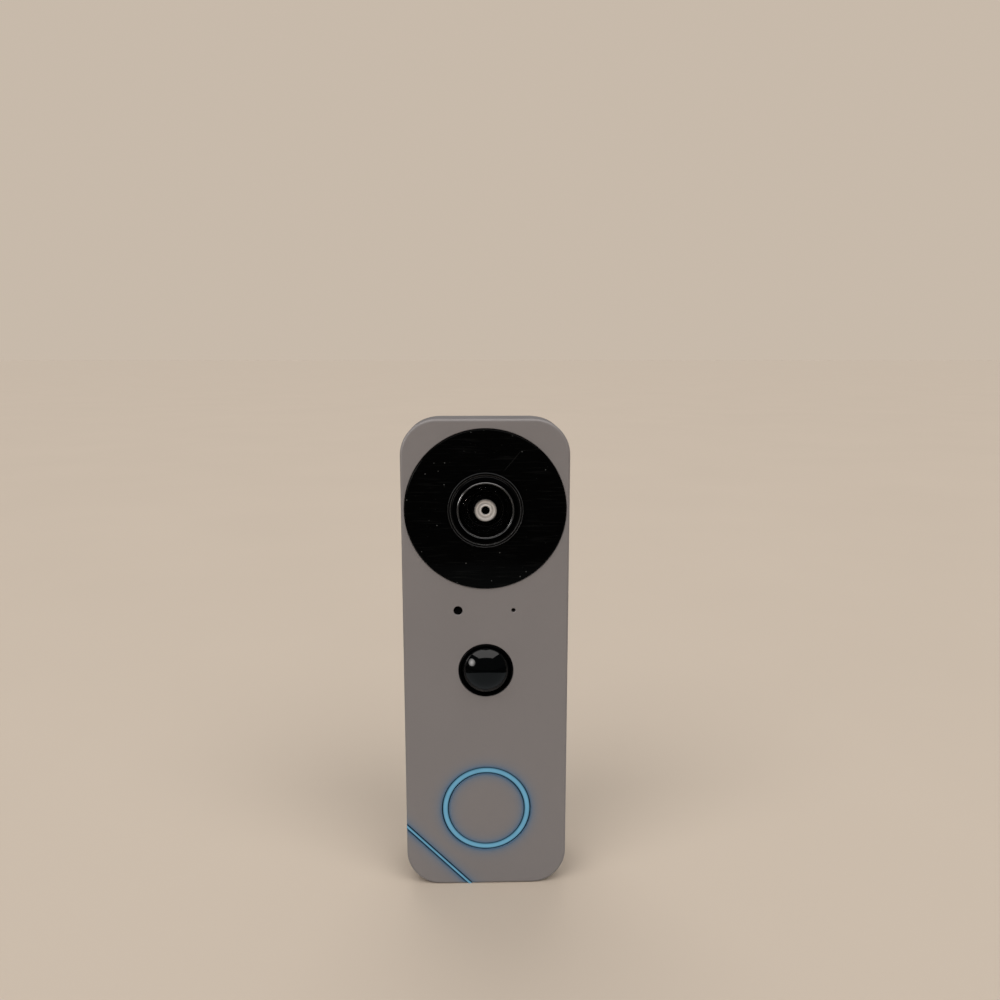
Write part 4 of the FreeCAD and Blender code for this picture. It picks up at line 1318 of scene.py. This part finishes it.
    def build(self) -> None:
        """Builds the camera's face and dresses what is behind it."""
        kit, inner = self.kit, Space.of("inner_lenses")
        x, z = Space.of("front_lens").x, Space.of("front_lens").z
        self.add(self.window(), kit.window, "camera_window")
        self.add(self.collar(), kit.collar(x, z), "camera_bezel")
        self.add(self.barrel(), kit.anodised(x, z), "lens_barrel")
        self.add(self.lip(), kit.lip(x, z), "lens_barrel")
        glasses = ((self.front_element(), "front_lens"),
                   (self.small_element("inner_element", self.inner_seat, self.inner_reach,
                                       inner.far - self.inner_sphere, self.inner_sphere, 8), "inner_lenses"),
                   (self.small_element("rear_element", inner.near, self.rear_reach, self.rear_middle,
                                       self.rear_sphere, 6), "inner_lenses"))
        for element, node in glasses:
            self.add(element, kit.glass, node)
            element.visible_shadow = element.visible_diffuse = False
        self.add(self.iris(), kit.iris(x, z), "iris_ring")
        self.add(self.cone(), kit.anodised(x, z), "iris_ring")
        self.dress(window_tape=kit.foam, lens_holder=kit.frame, filter_tray=kit.frame, filter_shuttle=kit.white,
                   filter_panes=kit.pane, filter_rotor=kit.nickel, filter_coil=kit.copper, image_sensor=kit.chip,
                   sensor_board=kit.board, night_led_board=kit.black_board, night_leds=kit.smoke, camera_flex=kit.film)


@dataclass
class MotionSensor(Assembly):
    """The dark dome and its rim, with the windowed can behind it, the light pipe and the microphone."""

    sphere: float = 7.4 * MM
    wall: float = 0.7 * MM
    reach: float = 6.7 * MM
    grooves: int = 9
    groove: float = 0.18 * MM
    grooved: float = 0.88
    rim_in: float = 6.73 * MM
    rim_ease: float = 0.05 * MM
    can_ease: float = 0.12 * MM
    can_side: float = 4.15 * MM
    can_window: tuple[float, float] = (1.9 * MM, 1.5 * MM)
    pipe_radius: float = 1.12 * MM
    pipe_collar: tuple[float, float] = (19.2 * MM, 20.2 * MM)

    def dome(self) -> Piece:
        """The dome: polished outside, with ring-shaped lens facets inside, on a skirt and a flange."""
        space, rim = Space.of("pir_lens"), Space.of("pir_bezel")
        centre, inner = space.far - self.sphere, self.sphere - self.wall
        top = math.asin(self.reach / self.sphere)

        def spot(radius: float, angle: float) -> tuple[float, float]:
            """The profile point at an angle from the axis."""
            return radius * math.sin(angle), centre + radius * math.cos(angle)

        outer = [spot(self.sphere, top * k / 40) for k in range(41)]
        facets = []
        for k in range(self.grooves, 0, -1):
            high, low = (top * self.grooved * n / self.grooves for n in (k, k - 1))
            facets += [spot(inner, high), spot(inner + self.groove, low + 0.01)]
        skirt = [(self.reach, rim.near), (space.radius, rim.near), (space.radius, space.near),
                 (self.reach - self.wall, space.near)]
        return turned("motion_dome", space.x, space.z, [*outer, *skirt, *facets, (0.0, centre + inner)], DOME_STEPS)

    def rim(self) -> Piece:
        """The thin rim that the dome rises from."""
        space, inner, soft = Space.of("pir_bezel"), self.rim_in, 0.14 * MM
        profile = [(inner, space.near), (space.radius, space.near), (space.radius, space.far - 0.1 * MM),
                   (space.radius - soft, space.far), (inner + soft, space.far), (inner, space.far - 0.12 * MM)]
        return turned("motion_rim", space.x, space.z, eased(profile, self.rim_ease), DOME_STEPS)

    def can(self) -> Piece:
        """The can with its stepped top round the window."""
        space = Space.of("pir_sensor")
        near, far = space.near, space.far
        profile = [(0.0, near), (space.radius, near), (space.radius, near + 0.4 * MM), (self.can_side, near + 0.5 * MM),
                   (self.can_side - 0.05 * MM, far - 0.4 * MM), (3.7 * MM, far), (0.0, far)]
        can = turned("motion_can", space.x, space.z, eased(profile, self.can_ease), PLAIN_STEPS)
        half_x, half_z = self.can_window
        window = boxed("window", at(space.x - half_x, space.z - half_z, far + MM),
                       at(space.x + half_x, space.z + half_z, far - 0.3 * MM))
        return carved(can, [window])

    def pipe(self) -> Piece:
        """The smoked light pipe, domed at its front."""
        space, radius = Space.of("light_sensor_pipe"), self.pipe_radius
        start, end = self.pipe_collar
        profile = [(0.0, space.near), (radius, space.near), (radius, start), (space.radius, start), (space.radius, end),
                   (radius, end), (radius, space.far - 0.25 * MM), (radius * 0.8, space.far - 0.06 * MM),
                   (radius * 0.4, space.far), (0.0, space.far)]
        return turned("daylight_pipe", space.x, space.z, profile, PLAIN_STEPS, Shade.ROUND)

    def build(self) -> None:
        """Builds the dome, the rim, the can and the light pipe, and dresses the small sensors."""
        kit = self.kit
        self.add(self.dome(), kit.dome, "pir_lens")
        self.add(self.rim(), kit.bezel, "pir_bezel")
        self.add(self.can(), kit.can, "pir_sensor")
        self.add(self.pipe(), kit.pipe, "light_sensor_pipe")
        self.dress(light_sensor=kit.chip, microphone=kit.can, microphone_boot=kit.rubber)


@dataclass
class CallButton(Assembly):
    """The call button: its cap, light ring, spring, seal, guide, switch and lamps."""

    ease: float = 0.16 * MM
    face: float = 1.6 * MM
    skirt: float = 3.2 * MM
    skirt_in: float = 9.3 * MM
    stem: float = 1.7 * MM
    leg_half: float = 0.9 * MM
    hook: float = 0.8 * MM
    wire: float = 0.26 * MM
    turns: float = 4.5
    per_turn: int = 28
    closed: float = 0.12
    clear: float = 0.02 * MM

    def cap(self) -> Piece:
        """The cap: a flat face with a softened edge, a skirt, a stem and three hooked legs."""
        space = Space.of("button_cap")
        x, z, far = space.x, space.z, space.far
        under, skirt = far - self.face, far - self.skirt
        profile = [(0.0, under), (self.skirt_in - 0.3 * MM, under), (self.skirt_in, under - 0.2 * MM),
                   (self.skirt_in, skirt), (space.radius, skirt), *arc(space.radius, far, self.ease, 5), (0.0, far)]
        cap = turned("button_face", x, z, profile, FINEST_STEPS)
        low, high = Space.of("switch_plunger").far + self.clear, under + 0.3 * MM
        stem = [(0.0, low), (self.stem - 0.3 * MM, low), (self.stem, low + 0.3 * MM), (self.stem, high), (0.0, high)]
        parts = [turned("stem", x, z, stem, PLAIN_STEPS)]
        half, hook = self.leg_half, -space.near - self.hook + self.clear
        for angle in (90, 210, 330):
            leg = boxed("leg", Vector((7.2 * MM, -under - 0.3 * MM, -half)), Vector((8.2 * MM, -space.near, half)))
            barb = boxed("hook", Vector((8.0 * MM, hook, -half)), Vector((8.7 * MM, -space.near, half)), 0.12 * MM)
            for part in (leg, barb):
                part.data.transform(Matrix.Translation((x, 0, z)) @ Matrix.Rotation(-math.radians(angle), 4, "Y"))
                parts.append(part)
        return settled(carved(cap, parts, "UNION"))

    def light_ring(self) -> Piece:
        """The light ring, with a flange behind the frame and a crowned front."""
        space, flange = Space.of("button_light_ring"), Space.of("button_guide").far
        crown = [(radius, space.far - drop * MM) for radius, drop in (
            (RING_OUTER, 0.16), (RING_OUTER - 0.08 * MM, 0.05), (RING_OUTER - 0.3 * MM, 0.0),
            (RING_INNER + 0.3 * MM, 0.0), (RING_INNER + 0.08 * MM, 0.05), (RING_INNER, 0.16))]
        profile = [(RING_INNER, space.near), (RING_OUTER, space.near), (RING_OUTER, flange), (space.radius, flange),
                   (space.radius, flange + 1.2 * MM), (RING_OUTER, flange + 1.2 * MM), *crown]
        return turned("light_ring", space.x, space.z, profile, FINEST_STEPS)

    def spring(self) -> Piece:
        """The return spring, wound in wire, with closed ends."""
        space = Space.of("button_spring")
        middle, length = space.radius - self.wire, space.far - space.near - 2 * self.wire
        path = []
        for k in range(int(self.turns * self.per_turn) + 1):
            share = k / (self.turns * self.per_turn)
            climb = min(max((share - self.closed) / (1 - 2 * self.closed), 0.0), 1.0)
            angle = 2 * math.pi * self.turns * share
            path.append(at(space.x + middle * math.cos(angle), space.z + middle * math.sin(angle),
                           space.near + self.wire + length * (0.5 - 0.5 * math.cos(math.pi * climb))))
        return swept("return_spring", path, self.wire, 10)

    def build(self) -> None:
        """Builds the cap, the ring and the spring, and dresses the rest."""
        kit = self.kit
        self.add(self.cap(), kit.shell, "button_cap", body="call_button")
        self.add(self.light_ring(), kit.ring_light, "button_light_ring")
        spring = self.add(self.spring(), kit.spring, "button_spring")
        space, travel = Space.of("button_spring"), joint_travel("call_press")
        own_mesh(spring)
        self.dress(button_guide=kit.frame, button_seal=kit.rubber, indicator_leds=kit.lamp, switch_body=kit.chip,
                   switch_plunger=kit.white)


def joint_travel(name: str) -> float:
    """How far a sliding joint goes, in metres."""
    return next(max(j["range_m"]) for j in frame["joints"] if j["name"] == name)


@dataclass
class CaseAndPlate(Assembly):
    """The rear housing, the frame, the seal, the wall plate and every screw that holds them.

    The front screws' spots are (x, z) in millimetres. The rear screws' are (x, z, seat), one for both sides.
    """

    case_head: float = 1.3 * MM
    case_row: float = 10.0 * MM
    board_head: float = 1.0 * MM
    front_spots: Spots = ((-11.2, 8.0), (11.2, 8.0), (-11.6, -27.0), (11.6, -27.0), (11.2, -58.6))
    rear_spots: tuple[tuple[float, float, float], ...] = ((10.5, 51.5, 9.4), (15.0, -20.5, 10.4), (10.6, 28.4, 14.0))
    security_head: float = 1.5 * MM

    def case_screws(self) -> None:
        """Six long screws from the back into the frame."""
        space, height = Space.of("housing_screws"), self.case_head
        screw = Screw(1.0 * MM, space.far - space.near - height, 1.9 * MM, height, pitch=0.8 * MM, thread=0.2)
        x, top = space.width / 2 - screw.head, space.height / 2 - screw.head
        for k, (side, z) in enumerate((s, z) for z in (top, self.case_row, -top) for s in (-1, 1)):
            made = screw.made(f"case_screw_{k + 1}", at(side * x, z, space.near + height), FROM_WALL)
            self.add(made, self.kit.steel, "housing_screws")

    def board_screw(self, name: str, x: float, z: float, seat: float, length: float, towards: Vector,
                    node: str) -> None:
        """Adds a short screw in a board, its head's seat at a depth."""
        screw = Screw(0.8 * MM, length, 1.6 * MM, self.board_head, thread=0.18)
        self.add(screw.made(name, at(x, z, seat), towards), self.kit.steel, node)

    def board_screws(self) -> None:
        """The short screws of the front board, and the screws of the boards behind."""
        front, rear = Space.of("front_board_screws"), Space.of("rear_board_screws")
        for k, (x, z) in enumerate(self.front_spots):
            self.board_screw(f"front_board_screw_{k + 1}", x * MM, z * MM, front.near + self.board_head,
                             front.far - front.near - self.board_head, FROM_WALL, "front_board_screws")
        for k, (x, z, seat) in enumerate(self.rear_spots):
            for side, hand in ((-1, "left"), (1, "right")):
                self.board_screw(f"rear_screw_{k + 1}_{hand}", side * x * MM, z * MM, seat * MM,
                                 seat * MM - rear.near, TO_WALL, "rear_board_screws")

    def security_screw(self) -> None:
        """The socket-head screw under the unit."""
        low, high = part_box("security_screw")
        height = self.security_head
        screw = Screw(1.5 * MM, high[2] - low[2] - height, (high[0] - low[0]) / 2, height, drive=Drive.SOCKET)
        seat = Vector(((low[0] + high[0]) / 2, (low[1] + high[1]) / 2, low[2] + height))
        made = screw.made("security_screw_turned", seat, Vector((0, 0, 1)))
        self.add(made, self.kit.steel, "security_screw", body="wall_plate")

    def build(self) -> None:
        """Builds the screws and dresses the case."""
        kit = self.kit
        self.case_screws()
        self.board_screws()
        self.security_screw()
        self.dress(rear_housing=kit.housing, front_frame=kit.frame, housing_seal=kit.rubber, wall_plate=kit.plate)


@dataclass
class Wiring(Assembly):
    """The terminals with their screws, the reset button and the loudspeaker.

    The cone's centre and roll are (radius, height) in millimetres over the cone's back.
    """

    terminal_head: float = 1.6 * MM
    cone_centre: Spots = ((0.0, 0.0), (1.5, 0.05), (3.0, 0.2), (4.4, 1.0))
    cone_roll: Spots = ((10.4, 0.12), (10.8, 0.0), (11.2, 0.08))
    cone_ribs: int = 9
    cone_thick: float = 0.3 * MM

    def terminals(self) -> None:
        """The saddle screws in the two brass terminals."""
        for hand in ("left", "right"):
            node = f"terminal_screw_{hand}"
            space, height = Space.of(node), self.terminal_head
            screw = Screw(1.5 * MM, space.far - space.near - height, space.radius, height)
            made = screw.made(f"terminal_screw_turned_{hand}", at(space.x, space.z, space.near + height), FROM_WALL)
            self.add(made, self.kit.brass, node)

    def speaker(self) -> None:
        """The cone with its ribbed surround."""
        space = Space.of("speaker_cone")
        ribs = [(4.8 * MM + k * 0.62 * MM, space.near + (0.95 - 0.075 * k + (0.06 if k % 2 else -0.02)) * MM)
                for k in range(self.cone_ribs)]
        top = [*steps_at(space.near, *self.cone_centre), *ribs, *steps_at(space.near, *self.cone_roll),
               (space.radius, space.near + 0.3 * MM)]
        back = [(radius, depth + self.cone_thick) for radius, depth in reversed(top)]
        cone = turned("speaker_diaphragm", space.x, space.z, top + back, INNER_STEPS, Shade.ROUND)
        self.add(cone, self.kit.paper, "speaker_cone")

    def build(self) -> None:
        """Builds the screws and the cone, and dresses the rest."""
        kit = self.kit
        self.terminals()
        self.speaker()
        self.dress(terminals=kit.brass, speaker_basket=kit.black_steel, speaker_gasket=kit.foam,
                   speaker_leads=kit.sleeve, reset_switch=kit.chip, reset_button=kit.white)


@dataclass
class Electronics(Assembly):
    """The boards and what is soldered to them."""

    def build(self) -> None:
        """Dresses the boards and their parts."""
        kit = self.kit
        self.dress(front_board=kit.board, main_board=kit.board, supercapacitor=kit.wrap, processor_shield=kit.can,
                   radio_module=kit.can, power_parts=kit.chip, board_flex=kit.film, antenna=kit.copper)


# ---------------------------------------- studio
@dataclass(frozen=True)
class Card:
    """A flat card that only shows in the doorbell's gloss: its corners, its colour, and how brightly it shines."""

    name: str
    corners: tuple[tuple[float, float, float], ...]
    colour: Colour
    shine: float = 0.0
    fade: float = 0.0
    black: float = 0.004

    def place(self) -> None:
        """Adds the card to the scene."""
        card = piece_from(self.name, [Vector(c) for c in self.corners], [range(len(self.corners))])
        work = Nodes(self.name)
        strength: object = self.shine
        if self.fade:
            middle = sum((Vector(c) for c in self.corners), Vector()) / len(self.corners)
            away = work.node("VectorMath", operation="DISTANCE")
            work.set(away, 0, work.place())
            work.set(away, 1, tuple(middle))
            strength = work.between(away.outputs["Value"], self.shine, 0.0, 0.0, self.fade)
        made = work.finish(Base_Color=rgba((self.black,) * 3), Roughness=0.9, Specular_IOR_Level=0.1,
                           Emission_Color=rgba(self.colour), Emission_Strength=strength)
        card.data.materials.append(made)
        card.visible_camera = card.visible_diffuse = card.visible_shadow = card.visible_transmission = False


@dataclass
class Studio:
    """The pale floor and surround, the light and the camera.

    The patch is the edge of the lit floor in the gloss: (x, distance out from the front), from the left to the middle.
    Each sun is (name, energy, tilt, turn), in degrees.
    """

    patch: Spots = ((-0.15, -0.12), (-0.16, 0.0), (-0.184, 0.11), (-0.164, 0.241), (-0.09, 0.33), (0.0, 0.372))
    patch_tint: Colour = (0.92, 1.0, 1.04)
    patch_shine: float = 0.36
    overhead: float = 0.45
    overhead_back: float = 0.045
    overhead_fore: float = 0.345
    overhead_half: tuple[float, float] = (0.54, 0.30)
    round_left: float = 0.50
    round_up: float = 0.19
    round_radius: float = 0.125
    round_stretch: float = 1.55
    suns: tuple[tuple[str, float, float, float], ...] = (("soft_left", 1.0, 40, -38), ("soft_right", 1.0, 40, 38),
                                                         ("soft_back", 0.7, -28, 8))
    sun_spread: float = 38
    sun_tint: Colour = (1.0, 0.985, 0.96)
    lens: float = 30.9
    pitch: float = 9.52
    turn: float = 1.57
    camera_left: float = 2.24 * MM
    camera_out: float = 219.6 * MM
    camera_up: float = 145.8 * MM
    reach: float = 30.0
    floor: Colour = (0.574, 0.489, 0.408)
    backdrop: Colour = (0.575, 0.490, 0.404)
    ambient: Colour = (0.36, 0.355, 0.345)
    gloss: Colour = (0.03, 0.03, 0.03)

    def stage_material(self) -> Material:
        """Pale warm card with a faint tooth."""
        work = Nodes("stage_card")
        return work.finish(Base_Color=work.cloudy(work.noise(6, 3), self.floor, 0.99, 1.01), Roughness=0.9,
                           Specular_IOR_Level=0.1)

    def ground(self) -> None:
        """The floor under the doorbell."""
        low, reach = CAD_BOUNDS[0][2], self.reach
        corners = [Vector((x, y, low)) for x, y in ((-reach, -reach), (reach, -reach), (reach, reach), (-reach, reach))]
        floor = piece_from("stage_floor", corners, [(0, 1, 2, 3)])
        floor.data.materials.append(self.stage_material())

    def cards(self) -> None:
        """A black card on the floor round a lit patch of it, a pale card overhead and a round one at the left."""
        front, low = CAD_BOUNDS[0][1], CAD_BOUNDS[0][2] + 0.5 * MM
        start, end, half = front + 0.12, front - 25.0, 25.0
        edge = [(x, front - out, low) for x, out in self.patch]
        mirrored = [(-x, y, z) for x, y, z in reversed(edge[:-1])]
        around = [(half, start, low), (half, end, low), (-half, end, low), (-half, start, low)]
        Card("floor_flag", (*edge, *mirrored, *around), (0, 0, 0)).place()
        Card("floor_card", (*edge, *mirrored), self.patch_tint, self.patch_shine).place()
        high, back, fore = self.overhead, front + self.overhead_back, front - self.overhead_fore
        wide, narrow = self.overhead_half
        overhead = ((-wide, back, high), (wide, back, high), (narrow, fore, high), (-narrow, fore, high))
        Card("overhead_card", overhead, (1.0, 0.97, 0.95), 2.3).place()
        middle = Vector((-self.round_left, front - 0.2, self.round_up))
        facing = (Vector((0.0, front, 0.0)) - middle).to_track_quat("Z", "Y")
        disc = tuple(tuple(middle + facing @ Vector((x * self.round_stretch, y, 0)))
                     for x, y in circle(48, self.round_radius))
        Card("round_card", disc, (1.0, 0.96, 0.94), 15.0, 0.19).place()

    def world(self) -> None:
        """An even surround: pale where it is seen, softer where it lights, and dark in gloss."""
        world = bpy.data.worlds.new("surround")
        bpy.context.scene.world = world
        world.use_nodes = True
        tree = world.node_tree
        path = tree.nodes.new("ShaderNodeLightPath")
        colour = None
        for ray, seen in (("Is Camera Ray", self.backdrop), ("Is Glossy Ray", self.gloss)):
            mix = tree.nodes.new("ShaderNodeMix")
            mix.data_type = "RGBA"
            tree.links.new(path.outputs[ray], mix.inputs[0])
            if colour is None:
                mix.inputs[6].default_value = rgba(self.ambient)
            else:
                tree.links.new(colour, mix.inputs[6])
            mix.inputs[7].default_value = rgba(seen)
            colour = mix.outputs[2]
        tree.links.new(colour, tree.nodes["Background"].inputs[0])

    def lights(self) -> None:
        """Three very soft lights: two from high in front, crossing, and one from behind."""
        for name, energy, tilt, turn in self.suns:
            data = bpy.data.lights.new(name, "SUN")
            data.energy, data.angle, data.color = energy, math.radians(self.sun_spread), self.sun_tint
            holder = bpy.data.objects.new(name, data)
            holder.rotation_euler = (math.radians(tilt), 0, math.radians(turn))
            holder.visible_glossy = holder.visible_transmission = False
            bpy.context.scene.collection.objects.link(holder)

    def camera(self) -> None:
        """The camera, a little above and in front."""
        front, low = -Space.of("faceplate").far, CAD_BOUNDS[0][2]
        data = bpy.data.cameras.new("camera")
        data.lens, data.sensor_width, data.clip_start, data.clip_end = self.lens, 36.0, 0.005, 100.0
        holder = bpy.data.objects.new("camera", data)
        holder.location = (-self.camera_left, front - self.camera_out, low + self.camera_up)
        holder.rotation_euler = (math.radians(90 - self.pitch), 0, -math.radians(self.turn))
        bpy.context.scene.collection.objects.link(holder)
        bpy.context.scene.camera = holder

    def build(self) -> None:
        """Sets up the studio."""
        bpy.context.scene.view_settings.view_transform = "Standard"
        for step in (self.ground, self.cards, self.world, self.lights, self.camera):
            step()


def main() -> None:
    """Builds the studio and every sub-assembly in order."""
    logging.basicConfig(level=logging.INFO, format="%(name)s %(message)s")
    ring = Space.of("button_light_ring")
    glow = Glow(ring.x, ring.z, (RING_INNER + RING_OUTER) / 2, (RING_OUTER - RING_INNER) / 2,
                FrontShell.line_sum(), FrontShell.bar_half, Space.of("faceplate").far)
    kit = Kit(glow, ring.far, Space.of("corner_light_bar").far)
    Studio().build()
    for maker in (FrontShell, Camera, MotionSensor, CallButton, CaseAndPlate, Wiring, Electronics):
        maker(kit).build()


if __name__ == "__main__":
    main()
